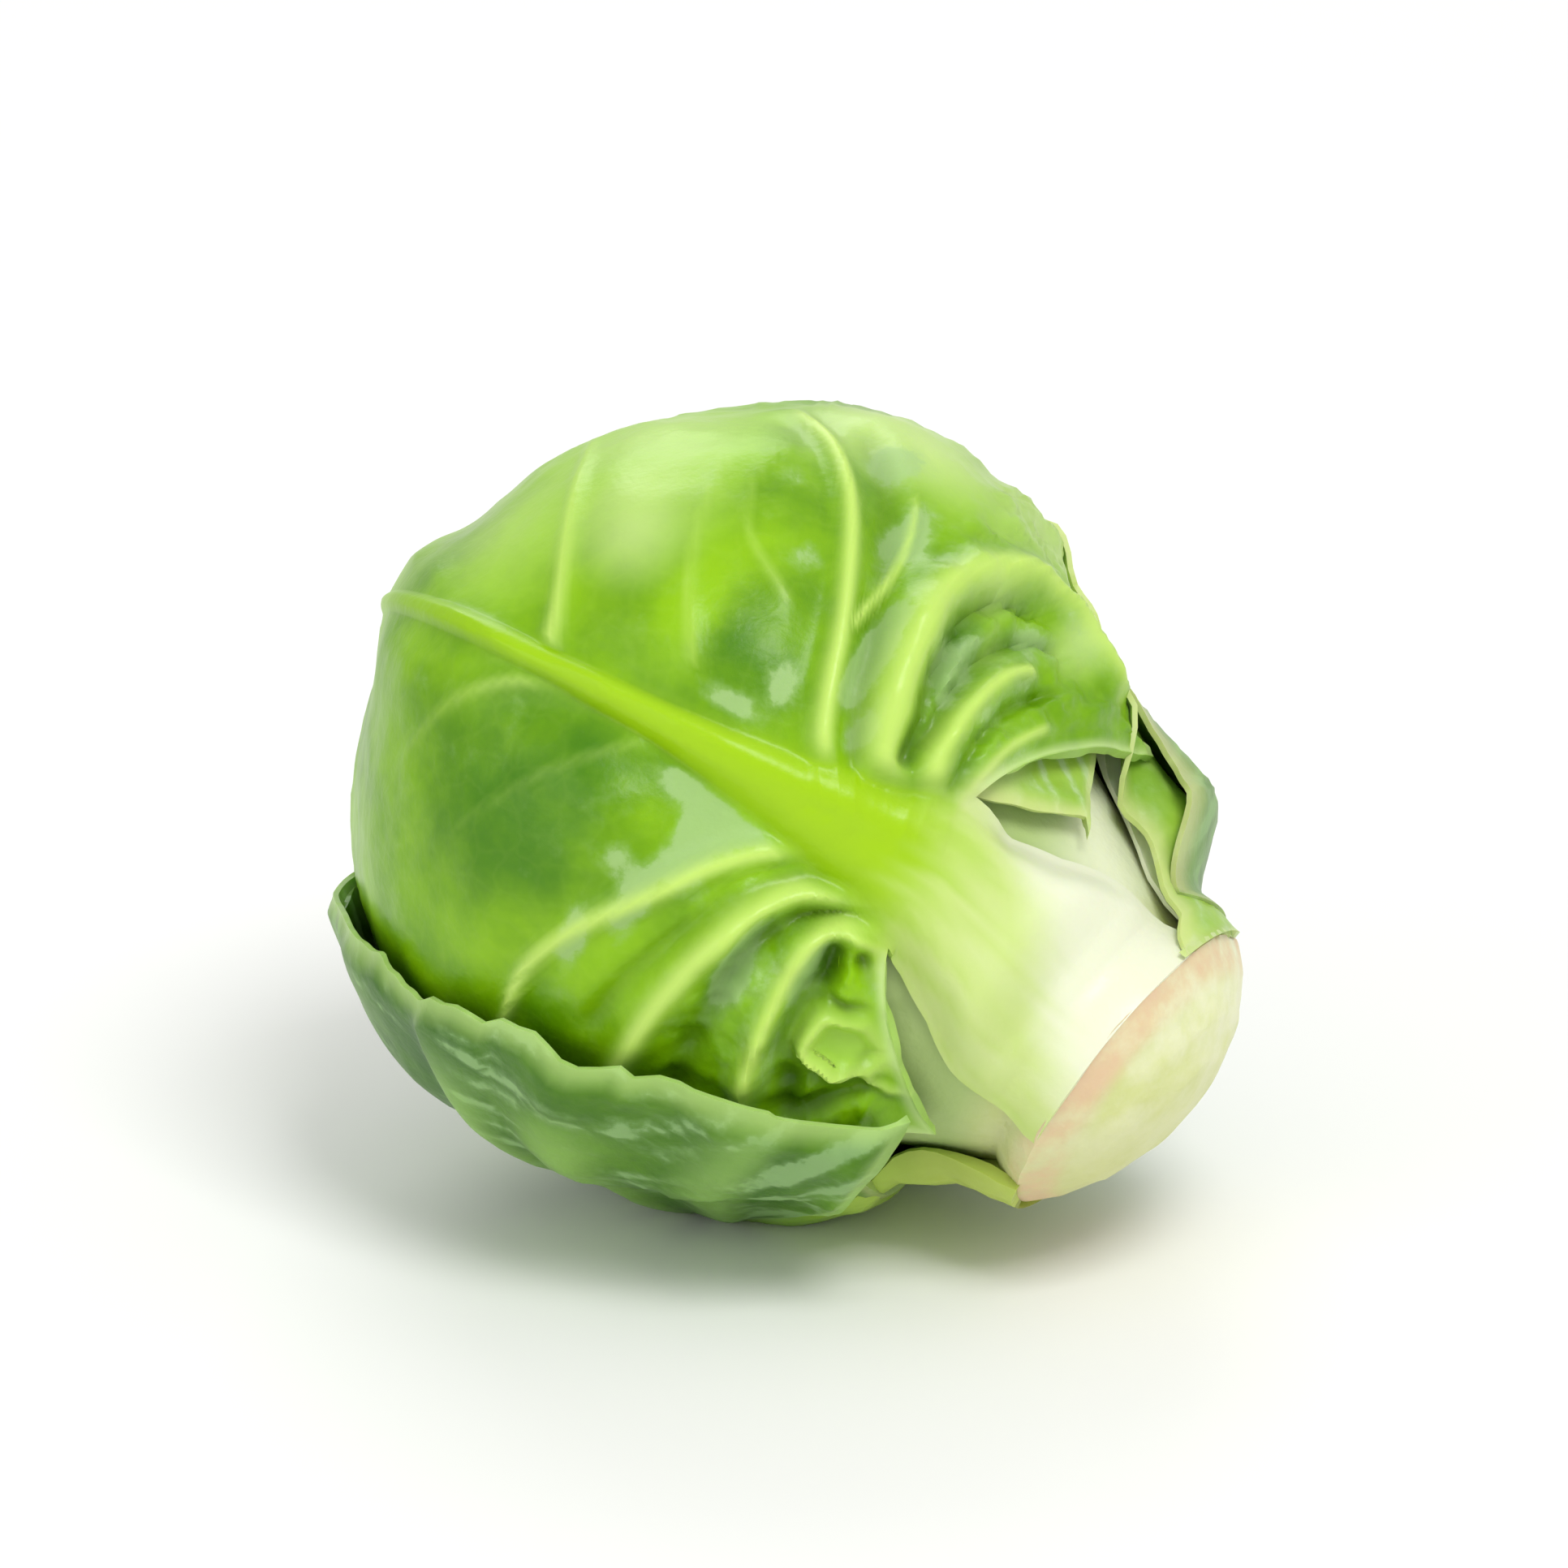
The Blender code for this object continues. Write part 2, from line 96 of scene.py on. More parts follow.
# Veins of the front leaf, each from the midrib outwards, as arcs (x across the leaf, y along it) in degrees,
# with its half-spread in degrees and its height in millimetres at both ends
Vein = namedtuple("Vein", "points spread height")
FRONT_VEINS = [
    Vein([(1, 22), (9, 25), (19, 31), (30, 39), (44, 50)], (1.7, 0.8), (0.30, 0.08)),
    Vein([(0, 14), (-3, 23), (-7, 29), (-12, 34), (-24, 42)], (1.5, 0.8), (0.22, 0.05)),
    Vein([(3, -27), (6, -21), (15, -17), (25, -14), (36, -9), (45, -4), (53, 3), (58, 9), (66, 22)],
         (1.9, 1.3), (0.70, 0.40)),
    Vein([(26, -15), (35, -16), (46, -15), (56, -10)], (1.0, 0.7), (0.35, 0.15)),
    Vein([(5, -36), (9, -30), (15, -26), (25, -24), (34, -23), (43, -24), (52, -29), (58, -35), (60, -45),
          (53, -57), (44, -66)], (3.9, 2.3), (1.0, 1.0)),
    Vein([(8, -41), (14, -36), (21, -36), (30, -38), (36, -41), (40, -46)], (3.2, 1.4), (0.95, 0.5)),
    Vein([(9, -46), (17, -45), (24, -47), (31, -52)], (1.4, 1.0), (0.40, 0.25)),
    Vein([(-3, -30), (-8, -22), (-14, -15), (-23, -8), (-32, 0), (-40, 5), (-47, 7), (-60, 8)],
         (1.9, 1.3), (0.62, 0.40)),
    Vein([(-8, -40), (-10, -34), (-12, -28), (-17, -23), (-25, -19), (-36, -16), (-50, -14), (-64, -14)],
         (2.8, 1.9), (0.95, 0.8)),
    Vein([(-11, -47), (-12, -42), (-14, -37), (-18, -34), (-24, -33.5), (-32, -34), (-40, -35), (-52, -39)],
         (2.3, 1.7), (0.95, 0.75)),
    Vein([(-14, -37), (-14, -42), (-14, -48), (-17, -52), (-22, -54)], (1.5, 1.3), (0.8, 0.7)),
    Vein([(10, 2), (20, 9), (32, 14), (44, 18)], (1.2, 0.7), (0.16, 0.05)),
    Vein([(24, -5), (30, 6), (38, 10), (50, 12)], (1.0, 0.6), (0.14, 0.05)),
    Vein([(-4, 4), (-14, 14), (-26, 24), (-38, 32)], (1.1, 0.6), (0.10, 0.03)),
]
# Furrows between the veins, with their half-spread and depth at both ends
FRONT_FURROWS = [
    Vein([(7, -26), (16, -21.5), (28, -18.5), (40, -14), (51, -8), (60, 0), (66, 8)],
         (1.3, 2.4), (0.60, 0.35)),
    Vein([(-7, -34), (-11, -27), (-17, -20), (-27, -14), (-39, -9), (-52, -6)], (1.2, 2.0), (0.45, 0.35)),
    Vein([(-11, -41), (-14, -33), (-20, -27), (-31, -24), (-44, -24), (-58, -24)],
         (1.4, 3.0), (0.70, 0.60)),
    Vein([(-18, -39), (-23, -40), (-28, -39), (-34, -40), (-40, -43), (-48, -47)],
         (1.5, 2.6), (1.00, 0.90)),
    Vein([(-17, -44), (-20, -48), (-22, -52), (-25, -56)], (1.2, 1.3), (0.95, 0.95)),
    Vein([(-36, -53), (-40, -50), (-44, -46)], (1.3, 1.6), (0.70, 0.80)),
    Vein([(13, -32), (23, -29), (33, -28), (43, -29), (51, -34), (53, -42)], (1.4, 1.4), (0.75, 0.60)),
    Vein([(16, -33), (24, -33), (34, -34.5), (42, -37), (47, -42), (50, -50)], (1.6, 1.3), (0.60, 0.50)),
    Vein([(12, -42), (20, -41), (28, -43), (35, -47), (40, -52)], (1.1, 1.1), (0.45, 0.45)),
]
# Curled edges of the left lobe: place, half-widths and height
FRONT_CURLS = [(-30.7, -47.6, 5.2, 6.4, 0.66), (-32.0, -56.9, 2.6, 3.6, 0.45)]
# Soft spots on the front leaf: x, y, half-widths and strength of its wax, painted shade, painted light and
# painted highlights
FRONT_WAX = [
    (-9, -12, 7, 8, 0.58), (-6, -4, 4, 6, 0.48), (-16, -10, 8, 6, 0.52), (-25, -6, 10, 4.5, 0.46),
    (-34, 0, 9, 4, 0.40), (-7, -19, 5, 5, 0.40), (-20, -2, 5, 4, 0.30),
    (24, -19.5, 14, 3.4, 0.55), (46, -14, 14, 6, 0.45), (60, -4, 8, 10, 0.40), (12, -24, 5, 3.5, 0.45),
    (7, -6, 3, 9, 0.40), (13, -11, 7, 3, 0.38), (32, -4, 5, 4, 0.26), (44, 6, 5, 4, 0.30),
    (-28, -25, 14, 4.0, 0.45), (-22, -36, 9, 4, 0.35), (30, -31, 12, 5, 0.35), (46, -42, 7, 10, 0.30),
]
# Painted shade, which darkens the front leaf over its furrows and lower pane
FRONT_PAINTED_SHADE = [
    (-22, 16, 26, 22, 0.30), (18, -1, 12, 8, 0.22), (34, -30, 10, 6, 0.35), (-28, -24, 12, 5, 0.25),
    (-20, -38, 8, 6, 0.25), (-46, 0, 14, 14, 0.10),
]
# Painted light, which brightens the front leaf's tissue in spots
FRONT_PAINTED_LIGHT = [
    (44, 34, 30, 26, 0.45), (-40, 12, 16, 8, 0.15), (16, 40, 16, 16, 0.25), (15, 5, 12, 8, 0.25),
]
# Painted highlights, which pale the front leaf in spots
FRONT_PAINTED_HIGHLIGHTS = [
    (46, 36, 28, 24, 0.55), (70, 6, 24, 22, 0.80), (82, -26, 32, 44, 0.75), (16, 42, 18, 18, 0.30),
    (22, 66, 30, 30, 0.35), (62, -52, 12, 14, 0.60), (30, 20, 20, 14, 0.35),
    (24, 26, 14, 12, 0.35), (-30, -48, 10, 12, 0.25), (21, 18, 10, 9, 0.30), (64, -10, 14, 12, 0.40),
    (48, -30, 9, 7, 0.50), (52, -50, 11, 9, 0.60), (38, -36, 7, 6, 0.30),
]
# Where the front leaf's right shoulder bulges, by 1 mm
FRONT_BULGES = [(74, -8, 42, 44, 1.0)]
# Small leaves of the heart, whose margins show as steps on it
HEART_LEAVES = [
    Leaf("heart_left", -44, 5, 78, 86, -62, -58, 0.3, 0, 0, 0, 17, "pale", 0, 99, 99),
    Leaf("heart_right", 178, -5, 78, 88, -62, -56, 0.3, 0, 0, 0, 20, "pale", 0, 99, 99),
]

# Along a leaf: half the midrib's spread, its height, and half the foot's turn round the stem
MIDRIB_AT = [-72, -60, -46, -38, -30, -22, -10, 0, 20, 50, 90]
MIDRIB_SPREAD = [30, 24, 16, 11, 9, 6.5, 4.2, 3.2, 2.6, 2.2, 2.0]
MIDRIB_HEIGHT = [0.95, 1.1, 1.2, 1.15, 1.05, 0.85, 0.62, 0.5, 0.38, 0.25, 0.08]
FOOT_AT = [-72, -64, -58, -52, -46]
FOOT_TURN = [60, 50, 35, 26, 20]
# The rows of a leaf bend back from its midrib
ROW_AT = [-47, -37, -33, -25, 20, 60, 100]
ROW_SLOPE = [0.25, 0.4, 0.6, 0.6, 0.6, 0.4, -0.1]
ROW_CURVE = [-0.022, -0.013, -0.009, -0.001, 0.001, 0.0, 0.0]
CENTRE = 0.4
BLADE_START = -46.0
FOOT_END = -46.4
FAN_END = -22.0
# Ribs: where each leaves the midrib, its strength and its spread
RIBS = [(-37.0, 0.9, 2.0), (-31.0, 1.0, 2.0), (-25.0, 1.0, 2.2), (18.0, 0.3, 4.5)]
RIB_HEIGHT = 0.45
PLEAT = 0.55
SWELL = 0.4
DRAPE_SLOPE = 0.42
SKY = 15.0
# The thicker spot on the lowest leaf that is pressed flat where the sprout rests
PAD_HEIGHT = 1.6
PAD_RADIUS = 30.0
# The lowest leaf's foot: its heel swells at the stem (row, half-length, height) and its waist is drawn in
HEEL = (-70.0, 6.0, 1.1)
WAIST = (-57.0, 12.0)
# Where a foot thins out towards the stem's trimmed end: first row, and over how many
FOOT_THINS = (66.0, 6.0)
# Roundness of a blade's outline, and the waves of its margin: share of the width, rate and seeds of phase
ROUNDNESS = 2.3
MARGIN_WAVES = [(0.022, 0.16, 1), (0.014, 0.37, 2)]
FINE_WAVE = 0.013
# Where the leaves' feet come in to the trimmed stem end, and where that end tapers
TRIM_START, TRIM_LENGTH = 14.5, 2.5
TAPER_START, TAPER_LENGTH, TAPER = 17.6, 1.5, 0.3
# Columns on each side and on the midrib, and rows on the foot, the fan of ribs and the tip
FINE_GRID = (72, 30, 26, 84, 100)
PLAIN_GRID = (44, 16, 18, 44, 66)

# Parts of the front leaf's look that the settings hold
CHOSEN_PARTS = ("dark", "bright", "waxy", "midrib", "base")
# What a leaf's points hold for its material
MARKS = ("rib", "midrib", "stalk", "pale", "wax", "tone", "shade", "light", "edge")
# Sizes of the patterns in the materials, in millimetres. A leaf's cells are drawn several times their true
# width, so that they show.
TONE_PATCH = 4.762
NET_SPACING = 1.613
NET_BEND, NET_BEND_SPACING = 1.2, 1.111
WAX_TEAR = 1.923
LEAF_CELL = 0.3846
CUT_BLOTCH = 3.846
CUT_GRAIN = 0.5263
# The setting of a map range that passes smoothly from low to high
SOFT = {"interpolation_type": "SMOOTHSTEP"}
# How each kind of leaf looks: tissue from dark to bright, its painted highlights, wax, painted shade in
# creases, ribs, midrib, stalk, the stalk's base and the margin, and the roughness where there is no wax
Look = namedtuple("Look", "name gloss dark bright light waxy crease rib midrib stalk base rim")
LOOKS = {
    "bright": Look("front_leaf_tissue", 0.33, "#427B00", "#8EC200", "#C2DE84", "#A3C57E", "#3C6312",
                   "#C2E26C", "#A0CC0A", "#CBDF88", "#E9EDD0", "#CDE69A"),
    "deep": Look("outer_leaf_tissue", 0.36, "#2B5E00", "#66990F", "#A6C868", "#93B878", "#2F5210",
                 "#9CC862", "#98C43C", "#A6C84C", "#BACC60", "#B4D67A"),
    "worn": Look("worn_leaf_tissue", 0.36, "#2B5E00", "#66990F", "#A6C868", "#93B878", "#2F5210",
                 "#9CC862", "#98C43C", "#B9D660", "#E2E8A6", "#C6CC88"),
    "pale": Look("inner_leaf_tissue", 0.36, "#77AA20", "#AFD350", "#C8DE90", "#B7D394", "#5C8424",
                 "#CBE58C", "#BFE068", "#D6E8A0", "#F0F4DC", "#D3DE92"),
}

# The studio, in metres and watts: soft square lights (name, place, side and power), the air's brightness,
# the floor and the camera, with its elevation in degrees and its lens and sensor in millimetres
LIGHTS = [
    ("key_light", (0.14, -0.26, 0.46), 0.22, 1.5),
    ("fill_light", (-0.42, -0.30, 0.22), 0.36, 0.5),
    ("back_light", (-0.05, 0.42, 0.36), 0.30, 0.7),
]
LIGHT_TARGET = (0.0, 0.0, 0.017)
AIR_BRIGHTNESS = 0.62
FLOOR_SIDE = 3.0
CAMERA_TARGET = (0.0, 0.0, 0.0166)
CAMERA_ELEVATION, CAMERA_DISTANCE = 20.0, 0.42
LENS, SENSOR = 246, 36

FAR_CORNER = hypot(STEM_LENGTH, STEM_RADIUS)
TOUCH = atan2(STEM_RADIUS, STEM_LENGTH) + acos(CORE_RADIUS / FAR_CORNER)


# Shapes on the head

def direction(alpha, azimuth):
    """Unit vectors at angles alpha from the stem's end and azimuths round the axis."""
    a, f = np.radians(alpha), np.radians(azimuth)
    return np.stack([np.sin(a) * np.cos(f), np.sin(a) * np.sin(f), -np.cos(a) + 0 * f], axis=-1)


def leaf_axes(leaf):
    """The leaf's middle, its sideways direction and its direction to the tip, on the unit sphere."""
    f, turn = radians(leaf.azimuth), radians(leaf.lean)
    tipward = np.array([0.0, 0.0, 1.0])
    sideways = np.array([-sin(f), cos(f), 0.0])
    middle = direction(90.0, float(leaf.azimuth))
    return middle, cos(turn) * sideways - sin(turn) * tipward, cos(turn) * tipward + sin(turn) * sideways


def to_sphere(leaf, x, y):
    """Directions of the points (x, y) of a leaf, which are arcs in degrees from its middle."""
    middle, side, tip = leaf_axes(leaf)
    arc = np.radians(np.hypot(x, y))
    scale = np.sinc(arc / np.pi) * np.pi / 180
    return np.cos(arc)[..., None] * middle + (scale * x)[..., None] * side + (scale * y)[..., None] * tip


def from_sphere(leaf, d):
    """The leaf's arcs (x, y) of directions d."""
    middle, side, tip = leaf_axes(leaf)
    arc = np.arccos(np.clip(d @ middle, -0.999999, 1))
    scale = np.degrees(1 / np.maximum(np.sinc(arc / np.pi), 0.0001))
    return scale * (d @ side), scale * (d @ tip)


def foot_azimuth(leaf):
    """Where the leaf's foot lies round the stem, in line with its leaning midrib."""
    spot = to_sphere(leaf, np.array(0.0), np.array(BLADE_START))
    return degrees(atan2(spot[1], spot[0]))


def row_rise(x, q):
    """How far a row that leaves the midrib at q has risen at a distance x from it."""
    side = np.abs(x)
    return np.interp(q, ROW_AT, ROW_SLOPE) * side + np.interp(q, ROW_AT, ROW_CURVE) * side**2


def row_of(x, y):
    """The row q that passes through (x, y)."""
    low, high = np.full_like(y, -120.0), np.full_like(y, 120.0)
    for _ in range(16):
        middle = (low + high) / 2
        above = middle + row_rise(x, middle) > y
        low, high = np.where(above, low, middle), np.where(above, middle, high)
    return (low + high) / 2


def blade_width(leaf, y):
    """Half the spread of the round blade at y, with its waved margin."""
    centre = (leaf.reach + leaf.lobes) / 2
    length = (leaf.reach - leaf.lobes) / 2
    round_part = np.clip(1 - np.abs((y - centre) / length) ** ROUNDNESS, 0, 1) ** (1 / ROUNDNESS)
    wave = sum(share * np.sin(rate * y + seeds * leaf.seed) for share, rate, seeds in MARGIN_WAVES)
    wave = wave + FINE_WAVE * np.sin(1.1 * y + 3 * leaf.seed) * np.sin(0.23 * y + leaf.seed)
    return leaf.width * round_part * (1 + wave)


def row_end(leaf, q):
    """How far each row q runs from the midrib to the margin."""
    end = np.full_like(q, 0.5 * leaf.width)
    for _ in range(40):
        end = 0.6 * end + 0.4 * blade_width(leaf, np.minimum(q + row_rise(end, q), leaf.reach))
    return np.maximum(end, 4.0)


def midrib_spread(leaf, q):
    """Half the spread of the midrib, as an arc."""
    return np.interp(q, MIDRIB_AT, MIDRIB_SPREAD) * np.interp(q, [BLADE_START, -10], [leaf.petiole, 1])


def foot_turn(leaf, q):
    """Half the turn of the leaf's foot round the stem."""
    return leaf.petiole * np.interp(q, FOOT_AT, FOOT_TURN)


def bump(t, power=2):
    """1 at t = 0, falling smoothly to 0 at t = 1."""
    return np.clip(1 - np.abs(t) ** power, 0, 1) ** 2


def smooth(t):
    """0 below t = 0, 1 above t = 1 and smooth between."""
    t = np.clip(t, 0, 1)
    return t * t * (3 - 2 * t)


def outside(leaf, d):
    """How far each direction lies outside the leaf's outline, in degrees. It is negative inside."""
    x, y = from_sphere(leaf, d)
    past_tip = y - leaf.reach
    before_lobes = BLADE_START - row_of(x, y)
    blade = np.maximum(np.abs(x) - blade_width(leaf, y), np.maximum(past_tip, before_lobes))
    alpha = np.degrees(np.arccos(np.clip(-d[..., 2], -1, 1)))
    turn = np.degrees(np.arctan2(d[..., 1], d[..., 0])) - foot_azimuth(leaf)
    turn = np.abs((turn + 180) % 360 - 180) - foot_turn(leaf, alpha - 90)
    foot = np.maximum(turn * np.sin(np.radians(alpha)), alpha - 90 - BLADE_START)
    return np.minimum(blade, np.maximum(foot, leaf.foot + 90 - alpha))


def covered(rank, d):
    """1 where an outer leaf presses on the leaf of this rank, 0 where it is free."""
    free = np.ones(d.shape[:-1])
    for outer in LEAVES[:rank]:
        free = free * smooth((outside(outer, d) - 2) / 5)
    return 1 - free


def core_point(d, height):
    """Points over the pear-shaped core in directions d, at a height along its normal."""
    rho = np.hypot(d[..., 0], d[..., 1])
    alpha = np.arctan2(rho, -d[..., 2])
    normal = np.maximum(alpha, TOUCH)
    reach = CORE_RADIUS / np.cos(normal - alpha)
    around = d[..., :2] / np.maximum(rho, 1e-9)[..., None]
    flat = reach * np.sin(alpha) + height * np.sin(normal)
    down = reach * np.cos(alpha) + height * np.cos(normal)
    return np.concatenate([around * flat[..., None], -down[..., None]], axis=-1)


def leaf_directions(leaf, across, rows):
    """Arc x, row q and direction of the leaf's points, for its columns across from -1 to 1 and its rows."""
    u, q = np.meshgrid(across, rows, indexing="ij")
    share = np.minimum(np.abs(u) / CENTRE, 1)
    blade_share = np.clip((np.abs(u) - CENTRE) / (1 - CENTRE), 0, 1)
    spread = midrib_spread(leaf, q)
    end = row_end(leaf, q)
    past = np.maximum(q - BLADE_START, 0)
    end = np.minimum(end, np.where(u < 0, leaf.left, leaf.right) + 0.9 * past + 0.13 * past**2)
    x = np.sign(u) * (share * spread + blade_share * (end - spread))
    drop = leaf.drop * (1 - np.exp(-np.maximum(np.abs(x) - spread, 0) / 5)) * (1 - smooth(past / 16))
    blade = to_sphere(leaf, x, q + row_rise(x, q) - drop)
    foot = direction(90 + q, foot_azimuth(leaf) + np.sign(u) * share * foot_turn(leaf, q))
    blend = smooth((q - FOOT_END + 3) / 3.4)[..., None]
    d = (1 - blend) * foot + blend * blade
    return x, q, d / np.linalg.norm(d, axis=-1, keepdims=True)


def rib_strength(q):
    """Strength of the ribs on row q, from 0 between them to 1."""
    return np.max([strength * np.exp(-(((q - at) / width) ** 2)) for at, strength, width in RIBS], axis=0)


# Placing in the frame

def lying_rotation():
    """Turns the sprout's own frame to how it lies, with its stem end down and towards the front."""
    heading, dip = radians(STEM_HEADING), radians(STEM_DIP)
    crown = -Vector((cos(heading) * cos(dip), sin(heading) * cos(dip), -sin(dip)))
    level = Vector((sin(heading), -cos(heading), 0))
    above = crown.cross(level)
    front = cos(radians(ROLL)) * level + sin(radians(ROLL)) * above
    return Matrix((front, crown.cross(front), crown)).transposed()


TURN = np.array(lying_rotation())


def to_frame(points):
    """Points of the sprout's own frame, in millimetres, in the part's frame, in metres."""
    lying = points @ TURN.T
    lying[..., 2] = SQUASH * lying[..., 2] + TOP_FULLNESS * lying[..., 2] ** 2
    return (lying + np.array(HEAD_CENTRE)) * MM


def on_floor(points):
    """The placed points, with what lies beneath the floor pressed flat on it."""
    points[..., 2] = np.maximum(points[..., 2], FLAT_HEIGHT * MM)
    return points


def trimmed(points, radius):
    """The points, with what lies beyond the trimmed end of the stem brought back to it."""
    rho = np.hypot(points[..., 0], points[..., 1])
    near_end = smooth((-points[..., 2] - TRIM_START) / TRIM_LENGTH)
    radius = radius - TAPER * smooth((-points[..., 2] - TAPER_START) / TAPER_LENGTH)
    shrink = 1 - near_end * (1 - np.minimum(radius / np.maximum(rho, 1e-6), 1))
    level = np.maximum(points[..., 2], -KNOB_END)
    return np.stack([points[..., 0] * shrink, points[..., 1] * shrink, level], axis=-1)


def top_heights(trees, d):
    """Height, over the core, of the outermost thing built so far in each direction."""
    start = to_frame(core_point(d, SKY)).reshape(-1, 3)
    inward = to_frame(core_point(d, 0.0)).reshape(-1, 3) - start
    reach = np.linalg.norm(inward, axis=1)
    tops = np.zeros(len(start))
    for index, (origin, way) in enumerate(zip(start.tolist(), inward.tolist())):
        hits = [tree.ray_cast(origin, way, reach[index])[3] for tree in trees]
        tops[index] = max([SKY * (1 - hit / reach[index]) for hit in hits if hit is not None], default=0.0)
    return tops.reshape(d.shape[:-1])


def sweep(height, step):
    """Lets the height fall no faster than step from row to row, both ways."""
    for i in range(1, len(height)):
        height[i] = np.maximum(height[i], height[i - 1] - step[i - 1])
    for i in range(len(height) - 2, -1, -1):
        height[i] = np.maximum(height[i], height[i + 1] - step[i])


def around(height):
    """Sum of each height's four neighbours."""
    padded = np.pad(height, 1, mode="edge")
    return padded[2:, 1:-1] + padded[:-2, 1:-1] + padded[1:-1, 2:] + padded[1:-1, :-2]


def resting_height(beneath, d, gap, reach=3, passes=24):
    """Height of a stiff leaf's inner face at its points, clear of all that lies beneath."""
    tops = np.pad(beneath, reach, mode="edge")
    wide, tall = d.shape[:2]
    window = range(2 * reach + 1)
    height = np.max([tops[i : i + wide, reach : reach + tall] for i in window], axis=0)
    height = np.maximum(height, np.max([tops[reach : reach + wide, j : j + tall] for j in window], axis=0))
    points = core_point(d, 0.0)
    step_across = DRAPE_SLOPE * np.linalg.norm(np.diff(points, axis=0), axis=-1)
    step_along = DRAPE_SLOPE * np.linalg.norm(np.diff(points, axis=1), axis=-1)
    for _ in range(2):
        sweep(height, step_across)
        sweep(height.T, step_along.T)
    for _ in range(passes):
        height = np.maximum(height, around(height) / 4)
    return height + gap


def softened(height, passes):
    """The heights averaged with their neighbours."""
    for _ in range(passes):
        height = (height + around(height)) / 5
    return height


def noise_field(points, size, seed, octaves=3):
    """Smooth noise, about -1 to 1, with features of a size in millimetres."""
    flat = points.reshape(-1, 3) / size + seed * 7.31
    values = [noise.fractal(Vector(p), 0.9, 2.0, octaves) for p in flat.tolist()]
    return np.array(values).reshape(points.shape[:-1])


def rounded(points, rounds=3):
    """The line through the points with its corners cut until it is smooth."""
    line = np.array(points, dtype=float)
    for _ in range(rounds):
        near, far = line[:-1], line[1:]
        cut = np.stack([0.75 * near + 0.25 * far, 0.25 * near + 0.75 * far], axis=1)
        line = np.vstack([line[:1], cut.reshape(-1, 2), line[-1:]])
    return line


def along_line(line, x, y):
    """Distance of the points (x, y) from the line, and the share of its length at its nearest point."""
    lengths = np.linalg.norm(np.diff(line, axis=0), axis=1)
    start = np.concatenate([[0], np.cumsum(lengths)])
    nearest, share = np.full(x.shape, np.inf), np.zeros(x.shape)
    for (ax, ay), (bx, by), length, before in zip(line[:-1], line[1:], lengths, start):
        t = np.clip(((x - ax) * (bx - ax) + (y - ay) * (by - ay)) / length**2, 0, 1)
        distance = np.hypot(x - ax - t * (bx - ax), y - ay - t * (by - ay))
        closer = distance < nearest
        nearest = np.where(closer, distance, nearest)
        share = np.where(closer, (before + t * length) / start[-1], share)
    return nearest, share


def vein_relief(veins, x, y):
    """Height of the veins, where their pale crests lie, and how near the closest one is."""
    height, crest, near = np.zeros(x.shape), np.zeros(x.shape), np.zeros(x.shape)
    for vein in veins:
        distance, share = along_line(rounded(vein.points), x, y)
        spread = vein.spread[0] + (vein.spread[1] - vein.spread[0]) * share
        tall = vein.height[0] + (vein.height[1] - vein.height[0]) * share
        fade = smooth((1 - share) / 0.12)
        height = np.maximum(height, tall * fade * np.exp(-((distance / (1.35 * spread)) ** 2)))
        crest = np.maximum(crest, smooth(tall / 0.35) * fade * np.exp(-((distance / (0.8 * spread)) ** 2)))
        near = np.maximum(near, fade * smooth(tall / 0.5) * np.exp(-((distance / 6.0) ** 2)))
    return height, crest, near


def curled_edges(curls, x, y):
    """Raised rim, bowl and surrounding moat of edges that curl into a ring."""
    ring, bowl, moat = np.zeros(x.shape), np.zeros(x.shape), np.zeros(x.shape)
    for at_x, at_y, half_x, half_y, height in curls:
        turn = np.arctan2(y - at_y, x - at_x)
        away = np.hypot((x - at_x) / half_x, (y - at_y) / half_y)
        away = away * (1 + 0.12 * np.sin(2 * turn + 1.0) + 0.07 * np.sin(5 * turn))
        level = height * (0.72 + 0.28 * np.cos(turn - 2.6))
        ring = np.maximum(ring, level * np.exp(-(((away - 0.85) / 0.24) ** 2)))
        bowl = np.maximum(bowl, height * (1 - smooth((away - 0.45) / 0.35)))
        moat = np.maximum(moat, height * np.exp(-(((away - 1.4) / 0.28) ** 2)))
    return ring, bowl, moat


def spots(places, x, y):
    """Sum of soft round spots at their places."""
    total = np.zeros(x.shape)
    for at_x, at_y, half_x, half_y, amount in places:
        total = total + amount * bump(np.hypot((x - at_x) / half_x, (y - at_y) / half_y), 2)
    return total


# Meshes

def deselect_all():
    """Leaves object mode ready for a new primitive."""
    if bpy.context.object is not None and bpy.context.object.mode != "OBJECT":
        bpy.ops.object.mode_set(mode="OBJECT")
    bpy.ops.object.select_all(action="DESELECT")


def tree_of(piece):
    """The search tree of a finished piece."""
    mesh = piece.data
    return BVHTree.FromPolygons([v.co for v in mesh.vertices], [p.vertices[:] for p in mesh.polygons])


def add_attribute(mesh, name, values):
    """Gives the mesh's points a number each."""
    layer = mesh.attributes.new(name, "FLOAT", "POINT")
    layer.data.foreach_set("value", np.ascontiguousarray(values, dtype=np.float32).ravel())


def apply_modifier(piece, kind, name, **settings):
    """Adds a modifier with its settings and applies it."""
    made = piece.modifiers.new(name, kind)
    for key, value in settings.items():
        setattr(made, key, value)
    bpy.context.view_layer.objects.active = piece
    bpy.ops.object.modifier_apply(modifier=made.name)


